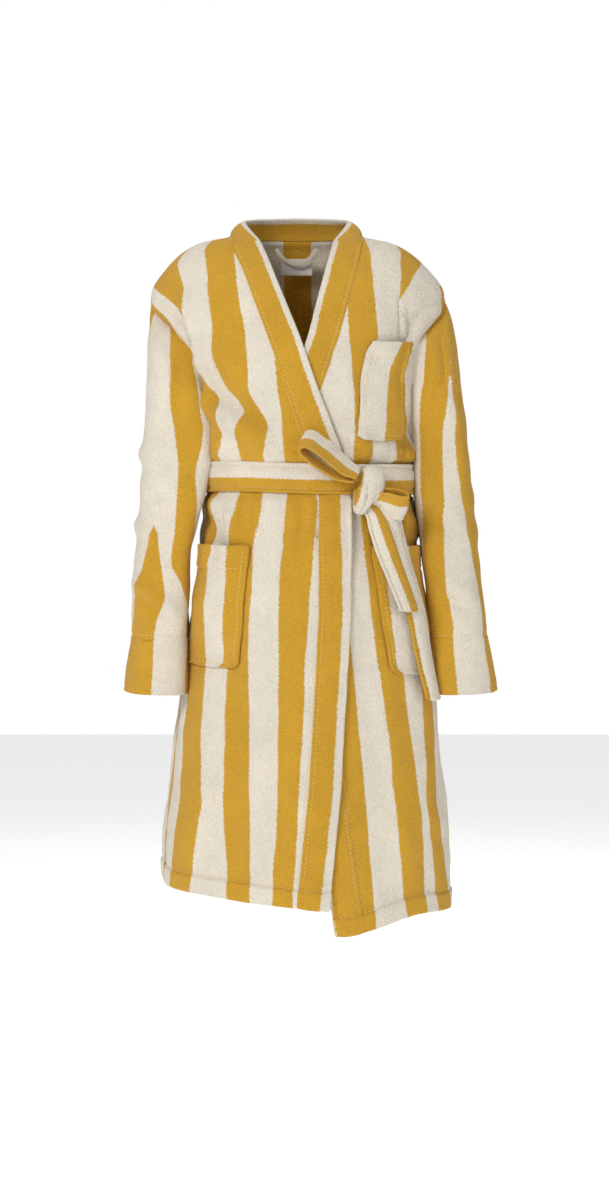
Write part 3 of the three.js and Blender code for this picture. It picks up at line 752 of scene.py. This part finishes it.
R1 = [(6, -150), (47, -191), (77, -183), (107, -176), (139, -171), (177, -158), (222, -148),
      (248, -143), (265, -124), (284, -114), (300, -119), (313, -113), (325, -105), (344, -111),
      (368, -110), (422, -124), (469, -122), (518, -138), (645, -147), (897, -145), (1060, -172)]
R2 = [(6, -120), (24, -148), (52, -146), (95, -142), (144, -133), (191, -127), (223, -122),
      (246, -113), (268, -90), (284, -82), (303, -84), (322, -89), (338, -89), (364, -82),
      (422, -89), (492, -99), (595, -112), (893, -118), (1048, -112)]
R3 = [(6, -90), (36, -103), (80, -98), (122, -92), (176, -85), (224, -79), (256, -76), (272, -64),
      (291, -52), (310, -45), (332, -48), (361, -50), (422, -54), (492, -66), (593, -74),
      (887, -75), (1043, -76)]
R4 = [(6, -30), (110, -53), (166, -46), (193, -39), (225, -34), (256, -31), (288, -26), (319, -23),
      (357, -20), (422, -18), (491, -26), (592, -32), (883, -33), (1038, -41)]
R5 = [(6, 90), (380, 90), (400, 25), (422, 25), (591, 13), (880, 0), (1035, -9)]
L0 = [(6, -40), (340, -40), (380, 50), (452, 62), (590, 71), (874, 102), (1078, 122)]
L1 = [(6, 70), (103, 72), (145, 75), (193, 76), (240, 77), (288, 81), (319, 81), (345, 80),
      (422, 90), (590, 109), (873, 147), (1072, 167)]
L2 = [(6, 100), (36, 110), (79, 111), (112, 114), (138, 117), (166, 119), (266, 112), (332, 103),
      (351, 102), (422, 116), (590, 142), (874, 182), (1062, 198)]
L3 = [(6, 130), (25, 156), (61, 154), (104, 154), (171, 155), (265, 144), (335, 138), (395, 138),
      (515, 157), (636, 176), (875, 192), (1060, 214)]
L4 = [(6, 180), (43, 195), (77, 173), (106, 156), (171, 156), (265, 161), (334, 164), (395, 166),
      (638, 190), (876, 205), (1059, 233)]
RIGHT_STRIP = [(6, -240), (84, -234), (92, -222), (105, -212), (117, -197), (129, -181),
               (139, -168), (180, -150), (1050, -150)]
LEFT_STRIP_WIDTH = [(6, -40), (74, -40), (84, 24), (120, 24), (165, 15), (186, 0), (196, -40),
                    (1050, -40)]


def right_stripes(drops, grid, run):
    b = [arc_of(line_at(t, drops), grid, run) for t in (R1, R2, R3, R4, R5)]
    strip = arc_of(line_at(RIGHT_STRIP, drops), grid, run)
    d = drops[:, None]
    low = np.where(d < 240, strip, b[0] - MUSTARD_WIDTH * ease(d, 232, 262))
    return [(low, b[0]), (b[1], b[2]), (b[3], b[4]), (low - STRIPE_PAIR, low - 42)]


def left_stripes(drops, grid, run):
    b = [arc_of(line_at(t, drops), grid, run) for t in (L0, L1, L2, L3, L4)]
    end = run[:, -1:]
    seam_strip = end - along(LEFT_STRIP_WIDTH, drops)[:, None]
    low = ease(drops, 215, 320)[:, None]
    next_one = b[4] + 42 + 60 * (1 - low)
    return [(b[0] - MUSTARD_WIDTH, b[0]), (b[1], b[2]), (b[3], b[4]), (seam_strip, end + 30),
            (next_one, next_one + MUSTARD_WIDTH)]


ACROSS_BAND = np.array([0, 1.2, 2.6, 4.2, 7, 11, 16, 21, 26, 31, 35, 38, 40.5, 42.5, BAND])
RIGHT_CREAM = [(18, 7), (168, 8), (330, 9), (422, 15), (600, 11), (1046, 12)]
LEFT_CREAM = [(18, 7), (168, 8), (400, 8), (800, 4), (1046, 0)]


def make_band(name, front, nodes, cream_edge):
    """The band along a front's edge. Returns its grid, which the collar goes on from."""
    side, fold = front["side"], front["fold"]
    drops = rows_between(18.0, HEM_DROP, ROW_STEP)
    d = drops[:, None]
    angle = front_angle(d, along(front["edge"], d) + side * (BAND - ACROSS_BAND))
    grid = body(d, angle, front["out"](d, angle) + 0.6)
    if side > 0:
        grid[..., 2] -= corner_fall(d, grid[..., 0])
    tone = BAND - along(cream_edge, d) - ACROSS_BAND + 0.8 * rumple(grid, 60, 1)
    piece = sewn(name, grid, tone, puffed(ACROSS_BAND / BAND, 0.02) + turned_up(d, 2.0),
                 sink=groove(d, HEM_STITCH) + groove(ACROSS_BAND, 4.2, 1.2, 1.8)
                 + groove(ACROSS_BAND, 38, 0.8),
                 threads=[row_of(drops, HEM_STITCH, len(ACROSS_BAND), 1),
                          path_at(drops, 3, HEM_STITCH - STITCHES_SHORT[1])],
                 body_name=None, stands_for=nodes)
    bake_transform(piece)
    return grid


make_back()
make_front("right_front", RIGHT, ["right_front_panel", "right_front_flap"], right_stripes)
make_front("left_front", LEFT, ["left_front_panel", "left_front_flap"], left_stripes)
right_top = make_band("right_front_edge_band", RIGHT, ["right_front_band", "right_flap_band"],
                      RIGHT_CREAM)
left_top = make_band("left_front_edge_band", LEFT, ["left_front_band", "left_flap_band"],
                     LEFT_CREAM)


# ---------------------------------------------------------------- collar
COLLAR_FROM, COLLAR_SWEEP = 62, 236  # degrees round the neck, from the left band to the right
COLLAR_RISE, COLLAR_LEAN = 30, 18  # its outer edge is this much higher, and this much further in
COLLAR_FORWARD = 50  # how far it reaches in front of the neck's middle


def smooth_path(points, count):
    """A Catmull-Rom curve through points of shape (n, k, 3), with even steps by length."""
    pts = np.asarray(points, float)
    step = np.linalg.norm(np.diff(pts, axis=0), axis=-1).reshape(len(pts) - 1, -1).mean(1)
    knots = np.concatenate([[0], np.cumsum(np.sqrt(step))])
    slope = np.gradient(pts, knots, axis=0)
    fine = np.linspace(0, knots[-1], count * 8)
    i = np.clip(np.searchsorted(knots, fine, side="right") - 1, 0, len(pts) - 2)
    h = knots[i + 1] - knots[i]
    t = (fine - knots[i]) / h
    shape = (-1,) + (1,) * (pts.ndim - 1)
    t, h = t.reshape(shape), h.reshape(shape)
    line = ((2 * t ** 3 - 3 * t ** 2 + 1) * pts[i] + (t ** 3 - 2 * t ** 2 + t) * h * slope[i]
            + (-2 * t ** 3 + 3 * t ** 2) * pts[i + 1] + (t ** 3 - t ** 2) * h * slope[i + 1])
    gone = np.linalg.norm(np.diff(line, axis=0), axis=-1).reshape(len(line) - 1, -1).mean(1)
    gone = np.concatenate([[0], np.cumsum(gone)])
    pick = np.interp(np.linspace(0, gone[-1], count), gone, np.arange(len(line)))
    lo = np.clip(pick.astype(int), 0, len(line) - 2)
    share = (pick - lo).reshape(shape)
    return line[lo] * (1 - share) + line[lo + 1] * share


def make_collar():
    across = np.linspace(0, 1, 13)
    centre, half, _, back_depth = section(NECK_DROP)
    rows = []
    for w in across:
        ring, shrink = [], COLLAR_LEAN * w * w
        for i in range(1, 8):
            angle = math.radians(COLLAR_FROM + COLLAR_SWEEP * i / 8)
            rise = COLLAR_RISE * w * (0.35 + 0.65 * math.sin(i / 8 * math.pi))
            reach = COLLAR_FORWARD if math.cos(angle) > 0 else back_depth - shrink
            ring.append((centre + (half - CLOTH - shrink) * math.sin(angle),
                         -reach * math.cos(angle), rise - 1.6))
        k = np.array([w * (len(ACROSS_BAND) - 1)])
        ends = [sample(g, np.array([0.0]), k, False)[0] for g in (left_top, right_top)]
        rows.append(smooth_path([ends[0], *ring, ends[1]], 120))
    grid, w = np.array(rows), across[:, None] * BAND
    grid[..., 2] += 0.32 * rumple(grid, 70, 2)
    piece = sewn("collar", grid, BAND - 7.0 - w + 0.6 * rumple(grid, 60, 3),
                 puffed(across[:, None], 0.03), centre=(-6, 10, -40),
                 sink=groove(w, 4.0, 1.0, 2.4), threads=[on_row(1.2, np.arange(1.0, 119))],
                 stands_for=["neck_band"])


make_collar()


# ---------------------------------------------------------------- sleeves
RIGHT_SLEEVE = {
    "side": -1, "top": (200, 4), "mouth": (228, -34),
    "overlap": [(200, 0), (230, 15), (265, 27), (310, 42), (360, 42), (421, 30), (494, 14),
                (640, 8), (722, 6)],
    "rest": [(200, 0), (300, 10), (400, 12), (500, 0)]}
LEFT_SLEEVE = {
    "side": 1, "top": (206, 10), "mouth": (262, -26),
    "overlap": [(182, 2), (250, 10), (421, 12), (550, 16), (640, 15), (722, 6)],
    "rest": [(200, 0), (300, 7), (400, 13), (480, 8), (560, 0)]}
SLEEVE_WIDE, SLEEVE_DEEP = (37, 9), (76, -10)  # half of it at its top, and its change to the mouth
SLEEVE_HEAD = 70.0  # over this length the sleeve's head turns into a tube
SLEEVE_TOP, SLEEVE_MOUTH, CUFF_TOP = 116.0, 722.0, 639.0
SLEEVE_SQUARE = 2 / 2.6
ARMHOLE_DROPS = [(0, TIP_DROP), (0.4, TIP_DROP + 5), (1.0, 132), (1.57, 158), (2.0, 184),
                 (2.4, 216), (2.8, 264), (3.0, 292), (3.15, UNDERARM_DROP - 2)]
SLEEVE_COLUMNS = 68
TURNS = np.linspace(0, 2 * np.pi, SLEEVE_COLUMNS, endpoint=False)[None, :]


def sleeve_middle(sleeve, drop):
    """The share of the way down a sleeve, and the middle of the sleeve there, for the left side."""
    share = (drop - SLEEVE_TOP) / (SLEEVE_MOUTH - SLEEVE_TOP)
    (tx, ty), (mx, my) = sleeve["top"], sleeve["mouth"]
    return share, tx + (mx - tx) * share, ty + (my - ty) * share


def sleeve_centre(sleeve, drop):
    _, x, y = sleeve_middle(sleeve, drop)
    return np.stack([sleeve["side"] * x, y, -drop], -1)


def sleeve_tube(sleeve, turn, drop, out):
    share, x, y = sleeve_middle(sleeve, drop)
    half_x, half_y = (size + change * share + out for size, change in (SLEEVE_WIDE, SLEEVE_DEEP))
    x = x + half_x * signed_power(np.cos(turn), SLEEVE_SQUARE)
    y = y + half_y * signed_power(np.sin(turn), SLEEVE_SQUARE)
    forward = along(sleeve["overlap"], drop) * bell(centred(turn), -2.1, 0.75)
    inward = along(sleeve["rest"], drop) * bell(np.abs(centred(turn)), np.pi, 0.8)
    x, y = x - forward - inward, y - 0.2 * forward
    return np.stack(np.broadcast_arrays(sleeve["side"] * x, y, -drop), -1)


def armhole(sleeve, turn, out):
    """The edge of the body's armhole that a turn of the sleeve is sewn to."""
    drop = along(ARMHOLE_DROPS, np.abs(centred(turn)))
    edge = side_angle(drop) - 2.0 / section(drop)[1]
    return body(drop, sleeve["side"] * np.where(centred(turn) <= 0, edge, np.pi - edge), out)


def sleeve_top(turn):
    """The drop at which each turn of the sleeve leaves the armhole."""
    underarm = (UNDERARM_DROP + 6 - SLEEVE_TOP - 74) * ease(np.abs(centred(turn)), 2.3, 2.95)
    return SLEEVE_TOP + 74 * (1 - np.cos(turn)) / 2 + underarm


def sleeve_point(sleeve, turn, drop, out):
    """The sleeve: sewn to the armhole at its top, and a tube further down."""
    low = sleeve_top(turn)
    share = ease(drop, low - 10, low + SLEEVE_HEAD)[..., None]
    point = sleeve_tube(sleeve, turn, np.maximum(drop, low), out)
    return armhole(sleeve, turn, out * 0.3) * (1 - share) + point * share


def sleeve_out(sleeve, turn, drop, creases, layer):
    p = sleeve_point(sleeve, turn, drop, 0)
    loose = 2.4 * rumple(p, 150, layer) + 1.0 * rumple(p, 52, layer + 1)
    loose = loose + creased(p[..., 0], p[..., 2], creases) * (np.sin(turn) < 0.15)
    elbow = np.sin((drop + 26 * np.sin(turn + sleeve["side"])) / 9.5)
    loose = loose + 1.8 * elbow * between(drop, 360, 420, 470, 560) * (0.5 + 0.5 * np.sin(turn + 0.6))
    fade = ease(drop, sleeve_top(turn), sleeve_top(turn) + 40)
    return soft_floor(loose * (0.25 + 0.75 * fade), SLEEVE_FLOOR)


TURN_LINE = np.linspace(-np.pi, np.pi, 721)
STRIPE_GIRTH_DROP = 420.0  # the stripes are measured out round the sleeve at this drop
BEHIND_STRIPES = [(-80 - MUSTARD_WIDTH, -80), (-167 - MUSTARD_WIDTH, -167)]


def sleeve_tone(sleeve, turn, drop, pairs):
    """Stripes down a sleeve. Pairs are tables of shares of the width, from the outer edge in."""
    run = run_of(sleeve_tube(sleeve, TURN_LINE, np.full(721, STRIPE_GIRTH_DROP), 0))
    run = run[360] - run  # length from the outer edge, growing towards the front

    def length(share):
        angle = -np.arccos(signed_power(1 - 2 * np.clip(share, 0, 1), 1 / SLEEVE_SQUARE))
        return np.interp(angle, TURN_LINE, run) + 100 * (share - np.clip(share, 0, 1))

    found = [(length(line_at(lo, drop)), length(line_at(hi, drop))) for lo, hi in pairs]
    place = np.interp(centred(turn), TURN_LINE, run)
    return striped(place + 1.4 * rumple(sleeve_point(sleeve, turn, drop, 0), 80, 4),
                   found + BEHIND_STRIPES)


RIGHT_SLEEVE_STRIPES = [
    ([(110, -0.5), (722, -0.5)], [(112, 0.15), (152, 0.06), (209, -0.02), (264, -0.2), (700, -0.3)]),
    ([(112, 0.2), (150, 0.33), (194, 0.48), (234, 0.42), (281, 0.37), (328, 0.42), (422, 0.54),
      (485, 0.60), (524, 0.60), (548, 0.745), (589, 0.89), (613, 0.95), (640, 0.97), (677, 0.9),
      (722, 0.9)],
     [(112, 0.9), (154, 0.84), (177, 0.82), (231, 0.81), (263, 0.77), (327, 0.71), (375, 0.68),
      (439, 0.8), (494, 0.91), (582, 1.05), (722, 1.1)]),
    ([(440, 0.29), (456, 0.27), (516, 0.18), (571, 0.07), (633, 0.02), (722, 0.0)],
     [(440, 0.25), (456, 0.27), (524, 0.44), (563, 0.53), (583, 0.54), (602, 0.43), (633, 0.41),
      (722, 0.42)]),
]
LEFT_SLEEVE_STRIPES = [
    ([(110, -0.6), (722, -0.6)],
     [(112, 0.02), (170, 0.17), (210, 0.2), (312, 0.255), (375, 0.27), (453, 0.2), (532, 0.145),
      (595, 0.11), (642, 0.10), (722, 0.13)]),
    ([(112, 0.0), (170, 0.17), (210, 0.2), (312, 0.425), (375, 0.48), (438, 0.55), (550, 0.58),
      (614, 0.52), (645, 0.57), (722, 0.6)],
     [(112, 0.5), (154, 0.5), (186, 0.585), (250, 0.75), (312, 0.83), (438, 0.84), (550, 0.9),
      (614, 0.95), (645, 0.95), (722, 1.0)]),
]
RIGHT_SLEEVE_CREASES = [
    ([(-236, -150), (-214, -210), (-206, -280)], 4, 16, 0),
    ([(-184, -190), (-190, -250), (-200, -330)], -5, 12, 0),
    ([(-262, -330), (-236, -372), (-206, -404)], 4, 13, 0),
    ([(-256, -352), (-228, -396), (-200, -424)], -4, 9, 0),
    ([(-266, -452), (-240, -470), (-214, -486)], 4, 11, 0),
    ([(-190, -420), (-216, -470), (-232, -540)], -4, 12, 0),
    ([(-262, -540), (-236, -566), (-206, -588), (-186, -594)], 6, 12, 0),
    ([(-258, -566), (-230, -590), (-200, -606)], -5, 8, 0),
    ([(-236, -600), (-240, -680), (-242, -720)], 3, 12, 0),
]
LEFT_SLEEVE_CREASES = [
    ([(226, -112), (224, -160), (226, -214), (230, -260)], -5, 5, 0),
    ([(214, -128), (212, -180), (212, -240)], 4, 12, 0),
    ([(190, -210), (200, -290), (204, -380)], -5, 12, 0),
    ([(236, -250), (248, -330), (254, -420)], 4, 16, 0),
    ([(204, -420), (230, -446), (262, -458)], 4, 12, 0),
    ([(206, -444), (234, -470), (268, -482)], -4, 9, 0),
    ([(212, -530), (240, -560), (276, -572)], 5, 12, 0),
    ([(214, -556), (244, -584), (280, -596)], -4, 9, 0),
    ([(256, -600), (262, -680), (264, -720)], 3, 12, 0),
]


def make_sleeve(name, sleeve, table, creases, layer, node):
    rows, seam = 96, sleeve_top(TURNS) - 9
    v = np.linspace(0, 1, rows)[:, None]
    drop = seam * (1 - v) + (CUFF_TOP - 0.9) * v
    grid = sleeve_point(sleeve, TURNS, drop, sleeve_out(sleeve, TURNS, drop, creases, layer) - CLOTH)
    ring = np.arange(SLEEVE_COLUMNS + 1.0)
    piece = sewn(name, grid, sleeve_tone(sleeve, TURNS, drop, table),
                 CLOTH + 1.5 * (1 - ease(drop - seam, 2, 9)), wrap=True,
                 centre=sleeve_centre(sleeve, drop),
                 sink=groove(drop, CUFF_TOP - 5, 1.4) + groove(drop - seam, 5, 1.2),
                 threads=[on_row(rows - 1 - 5 / 5.2, ring), on_row(1.1, ring)],
                 body_name=None, stands_for=[node])
    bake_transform(piece)


def make_cuff(name, sleeve, table, layer, arm, node):
    drop = np.linspace(CUFF_TOP + 0.3, SLEEVE_MOUTH, 19)[:, None] + 0 * TURNS
    p, flare = sleeve_point(sleeve, TURNS, drop, 0), ease(drop, CUFF_TOP, SLEEVE_MOUTH)
    out = 1.6 * rumple(p, 150, layer) + 0.8 * rumple(p, 52, layer + 1) - CLOTH + 5 * flare
    grid = sleeve_point(sleeve, TURNS, drop, out)
    grid[..., 2] += 2 * np.sin(TURNS + 0.8) * flare
    piece = sewn(name, grid, sleeve_tone(sleeve, TURNS, drop, table),
                 4.6 + 1.2 * ease(drop, CUFF_TOP, CUFF_TOP + 30), wrap=True,
                 centre=sleeve_centre(sleeve, drop), sink=groove(drop, SLEEVE_MOUTH - 6, 0.8),
                 body_name=arm, stands_for=[node])


make_sleeve("right_sleeve_cloth", RIGHT_SLEEVE, RIGHT_SLEEVE_STRIPES, RIGHT_SLEEVE_CREASES, 0,
            "right_sleeve")
make_sleeve("left_sleeve_cloth", LEFT_SLEEVE, LEFT_SLEEVE_STRIPES, LEFT_SLEEVE_CREASES, 2,
            "left_sleeve")
make_cuff("right_cuff_cloth", RIGHT_SLEEVE, RIGHT_SLEEVE_STRIPES, 0, "right_arm", "right_cuff")
make_cuff("left_cuff_cloth", LEFT_SLEEVE, LEFT_SLEEVE_STRIPES, 2, "left_arm", "left_cuff")


# ---------------------------------------------------------------- pockets
def make_pocket(name, node, side, drop0, size, side_degrees, slant, bulge, mouth_band, stripes_at,
                corner=12.0, flare=0.0):
    width, height = size
    rows = np.unique(np.concatenate([np.linspace(0, 1, int(height / 5)),
                                     (mouth_band + np.array([-2, 0, 2])) / height]))[:, None]
    cols = np.linspace(0, 1, int(width / 4.5))[None, :]
    h, w = rows * height, cols * width
    drop = drop0 + h
    _, half, front, _ = section(drop)
    span = width / ((half + front) / 2) * 0.97
    inset = corner - np.sqrt(np.maximum(corner ** 2 - np.maximum(corner - (height - h), 0) ** 2, 0))
    share = inset / width + cols * (1 - 2 * inset / width + flare / width * rows)
    outside = math.radians(side_degrees)
    angle = outside - span * (1 - share) - slant * rows / half if side > 0 else span * share - outside
    out_of = left_out if side > 0 else right_out
    stand = bulge * np.sin(np.pi * cols) ** 0.8 * ease(1 - rows, 0, 0.45)
    base = out_of(drop, angle) + CLOTH + 0.7
    grid = body(drop, angle, base + stand + 0.7 * rumple(body(drop, angle), 40, 5))
    if side > 0:
        grid[..., 2] -= corner_fall(drop, grid[..., 0])
    tone = striped(w, [(lo * width, hi * width) for lo, hi in stripes_at]) + 0.8 * rumple(grid, 60, 2)
    edge = np.minimum(np.minimum(w, width - w), height - h)
    last, columns = len(rows) - 1, cols.size
    r, c = np.arange(0.8, last - 1.2, 0.5), np.arange(1.2, columns - 2.1, 0.5)
    piece = sewn(name, grid, tone, CLOTH + 0.8 + 1.3 * (h < mouth_band) + 1.2 * bell(edge, 1, 3.0),
                 sink=groove(h, mouth_band, 1.2) + groove(edge, 5.4, 0.9),
                 threads=[row_of(h[:, 0], mouth_band, columns, 0.8), on_column(1.2, r),
                          on_column(columns - 2.2, r), on_row(last - 1.0, c)], stands_for=[node])


make_pocket("right_hip_patch_pocket", "right_hip_pocket", -1, 494, (118, 190), 73, 0, 12, 34,
            [(-1, 0.50), (0.79, 2)], flare=15)
make_pocket("left_hip_patch_pocket", "left_hip_pocket", 1, 494, (118, 190), 76, 0, 12, 34,
            [(-1, 0.09), (0.47, 0.85)])
make_pocket("chest_patch_pocket", "chest_pocket", 1, 177, (84, 150), 64, 22, 6, 22,
            [(0.49, 2)], corner=7.0)


# ---------------------------------------------------------------- belt
BELT_WIDTH, BELT_DROP, KNOT_TURN = 43.0, 388.0, math.radians(27)


def belt_out(angle):
    """How far the belt stands out from the body: a layer less where only the back is under it."""
    turn = np.abs(centred(angle))
    return LAYER + 2 + LAYER * (1 - ease(turn, math.radians(62), math.radians(100)))


def strap_thick(w):
    """A puffy strap, sewn flat a little inside both of its edges."""
    edge = np.minimum(w, BELT_WIDTH - w)
    return 4.2 + 2.6 * ease(edge, 4, 14) + bell(edge, 1.2, 1.6)


STRAP_ACROSS = np.array([0, 1.3, 2.8, 4.4, 6.5, 9, 13, 17, 21.5, 26, 30, 34, 36.5, 38.6, 40.2, 41.7, 43])
STRAP_SEAM = 4.4  # from each edge
SEAM_STEPS = 3.2, len(STRAP_ACROSS) - 4.2  # where the stitches run, in steps of STRAP_ACROSS


def strap_grooves(w, depth):
    return groove(w, STRAP_SEAM, depth, 1.5) + groove(w, BELT_WIDTH - STRAP_SEAM, depth, 1.5)


def make_belt():
    turn, w = np.linspace(0, 2 * np.pi, 260, endpoint=False)[None, :], STRAP_ACROSS[:, None]
    drop = BELT_DROP - BELT_WIDTH / 2 + w
    grid = body(drop, turn, belt_out(turn) - 2.6 + 0.7 * rumple(body(drop, turn), 60, 3))
    grid[..., 2] -= 3.0 * np.sin(turn - 0.5) + 1.4 * np.sin(turn * 3 + 0.7)
    piece = sewn("belt_round_waist", grid, w - BELT_WIDTH * 0.55 + 0.6 * rumple(grid, 50, 2),
                 strap_thick(w), wrap=True, centre=(14, 0, -BELT_DROP),
                 sink=strap_grooves(w, 1.4),
                 threads=[on_row(r, np.arange(261.0)) for r in SEAM_STEPS], stands_for=["belt_wrap"])


def turned(points, x=0.0, y=0.0, z=0.0):
    """Turned about X, then Y, then Z, in degrees."""
    x, y, z = (math.radians(a) for a in (x, y, z))
    rx = np.array([[1, 0, 0], [0, math.cos(x), -math.sin(x)], [0, math.sin(x), math.cos(x)]])
    ry = np.array([[math.cos(y), 0, math.sin(y)], [0, 1, 0], [-math.sin(y), 0, math.cos(y)]])
    rz = np.array([[math.cos(z), -math.sin(z), 0], [math.sin(z), math.cos(z), 0], [0, 0, 1]])
    return points @ (rz @ ry @ rx).T


KNOT_SPOT = body(406.0, KNOT_TURN, float(belt_out(KNOT_TURN)) + CLOTH + 2)


def make_knot():
    """The strap end that wraps over the crossing, pulled in at both of its edges."""
    w = np.linspace(0, 1, 17)[:, None]
    a = np.linspace(0, 2 * np.pi, 56, endpoint=False)[None, :]
    roll = np.sqrt(np.clip(1 - np.abs(2 * w - 1) ** 3.6, 0, 1))
    up, fore = signed_power(np.sin(a), 0.75), signed_power(np.cos(a), 0.85)
    below = ease(-up, -0.1, 1)
    x = (2 * w - 1) * 22 * (1 - 0.62 * below - 0.12 * ease(up, 0.2, 1)) - 7 * below + 4 * up
    y = 35 * (0.12 + 0.88 * roll) * up
    z = 13 + 13 * (0.15 + 0.85 * roll) * fore
    folds = 1.6 * np.sin(5 * np.pi * w + 1.6 * up) * ease(z, 12, 22) * ease(-up, -0.5, 0.5)
    dent = 2.5 * bell((2 * w - 1) + 0.5 * up, -0.35, 0.22) * ease(z, 14, 22)
    grid = np.stack(np.broadcast_arrays(x, y, z + folds - dent), -1)
    grid = turned(turned(turned(grid, z=-8), x=90), z=27) + KNOT_SPOT + np.array([-4, 0, 0])
    piece = sewn("belt_knot_wrap", grid, (0.09 - w) * 42 + 0.6 * rumple(grid, 30, 1),
                 4.2 * np.clip(roll, 0.3, 1), wrap=True, centre=grid.mean((0, 1)),
                 stands_for=["belt_knot"])


BOW = [(2, -5), (-20, 4), (-48, 8), (-74, 9), (-90, 6), (-95, 0), (-90, -6), (-72, -9),
       (-46, -8), (-20, -6), (2, -9)]
STUB = [(4, -3), (-8, 4), (-24, 6), (-38, 5), (-44, 0), (-38, -5), (-24, -7), (-8, -5), (4, -7)]


def make_bow(name, line, angles, spot, rides, nodes, mustard_share):
    """A loop: the strap leaves the knot, folds back at its tip and returns."""
    path = smooth_path([(x, y, 0) for x, y in line], 64)
    w = STRAP_ACROSS[:, None]
    squeeze = np.interp(path[:, 0], [-90, -20, 2], [1.0, 0.92, 0.6])
    grid = np.repeat(path[None], len(w), 0)
    grid[..., 2] += (w - BELT_WIDTH / 2) * squeeze
    grid[..., 1] += 1.4 * np.sin(w / 9)
    grid[..., 1] += 0.8 * rumple(grid, 34, 5)
    grid = turned(grid, *angles) + KNOT_SPOT + np.array(spot)
    piece = sewn(name, grid, BELT_WIDTH * mustard_share - w, strap_thick(w) * 0.8,
                 centre=grid.mean((0, 1)), sink=groove(w, STRAP_SEAM, 1.2, 1.5),
                 threads=[on_row(r, np.arange(63.0)) for r in SEAM_STEPS], body_name=rides,
                 stands_for=nodes)


def make_tail(name, node, rides, hinge, top, bottom, middle, width, out, tone_of, seed):
    """A strap end that stays in the knot and hangs free below it."""
    d = np.linspace(top, bottom, int((bottom - top) / 4.5))[:, None]
    w = STRAP_ACROSS / BELT_WIDTH - 0.5
    _, half, front, _ = section(d)
    off = along(out, d)
    angle = np.radians(along(middle, d)) + along(width, d) / ((half + front) / 2 + off) * w
    curl = 1.6 * np.cos(2 * np.pi * w) + 1.5 * np.sin(d / 31 + seed)
    grid = body(d, angle, off + curl)
    rows, end = np.arange(2.0, len(d) - 1), np.arange(*SEAM_STEPS, 0.5)
    piece = sewn(name, grid, tone_of(STRAP_ACROSS) + 0.5 * rumple(grid, 40, 1),
                 strap_thick(STRAP_ACROSS) * 0.95, sink=strap_grooves(STRAP_ACROSS, 1.2),
                 threads=[*(on_column(c, rows) for c in SEAM_STEPS), on_row(len(d) - 2.0, end)],
                 body_name=None if hinge else rides, stands_for=[node])
    if hinge:
        start, end = fold_planes(hinge, (0, 0, -1), 0.014)
        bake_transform(piece)


make_belt()
make_knot()
make_bow("belt_bow", BOW, (-46, 36, 16), (-24, -26, 20), "bow", ["belt_bow_loop"], 0.46)
make_bow("belt_stub", STUB, (-30, 198, -8), (16, -6, -12), "robe", [], 0.4)
make_tail("belt_short_end", "belt_tail_short", "short_tail", None, 432, 588,
          [(432, 27), (450, 29.5), (500, 35), (545, 40.5), (586, 45)], [(432, 24), (462, 37), (500, 43)],
          [(432, 26), (450, 34), (588, 35)], lambda w: np.minimum(w - 17, 39 - w), 0.4)
make_tail("belt_long_end", "belt_tail_long", "long_tail", (0.131, -0.141, -0.450), 420, 722,
          [(420, 30), (436, 35.5), (460, 39), (516, 43.5), (560, 48), (593, 51.5), (720, 60)],
          [(420, 24), (450, 38), (480, 43)],
          [(420, 24), (440, 34), (470, 29), (720, 29)], lambda w: 7 - w, 1.7)


# ---------------------------------------------------------------- loops and labels
ALL_CREAM = -20.0  # a stripe value well outside every mustard stripe


def make_belt_loop(name, node, side):
    w, v = np.linspace(-0.5, 0.5, 7)[None, :], np.linspace(0, 1, 40)[:, None]
    drop, middle = BELT_DROP - 31 + 62 * v, side * np.pi / 2
    arch = (float(belt_out(middle)) + CLOTH + 2.4 - LAYER) * np.minimum(1, 3 * np.sin(np.pi * v))
    grid = body(drop, middle + 12 / section(drop)[1] * w, LAYER - 1.5 + arch)
    piece = sewn(name, grid, ALL_CREAM, 2.0, centre=(14, 0, -BELT_DROP),
                 threads=[on_column(3, np.arange(1.0, 39))], stands_for=[node])


def make_hanger_loop():
    t = np.linspace(-1, 1, 61)
    path = np.stack([-6 + 32 * t, np.full(61, 60.0), -18 - 24 * (1 - t ** 2) ** 0.8], -1)
    across = np.cross(unit(np.gradient(path, axis=0)), [0, -1, 0])
    grid = path + across * np.linspace(-2.6, 2.6, 7)[:, None, None]
    piece = sewn("hanger_tape", grid, ALL_CREAM, 1.6,
                 centre=grid.mean((0, 1)) + [0, 40, 0], material=TAPE, body_name="hanger",
                 stands_for=["hanger_loop"])


def make_label(name, node, spot, size, sideways):
    u = np.linspace(-0.5, 0.5, 21)[None, :] * size[0]
    v = np.linspace(0.5, -0.5, 13)[:, None] * size[1]
    wave = 0.5 * np.sin(u / size[0] * 7) + 0.4 * np.cos(v / size[1] * 5)
    flat = np.broadcast_arrays(*((wave, u, v) if sideways else (u, wave, v)))
    piece = sewn(name, np.stack(flat, -1) + np.array(spot, float), 5.0, 0.9,
                 threads=[on_row(r, np.arange(1.0, 20)) for r in ((1,) if sideways else (1, 11))],
                 centre=np.array(spot) + ([40, 0, 0] if sideways else [0, 40, 0]), material=LABEL,
                 stands_for=[node])


make_belt_loop("right_belt_keeper", "right_belt_loop", -1)
make_belt_loop("left_belt_keeper", "left_belt_loop", 1)
make_hanger_loop()
make_label("neck_tag", "neck_label", (-6, 72, -46), (50, 26), False)
make_label("care_tag", "care_label", (182, 10, -580), (24, 52), True)
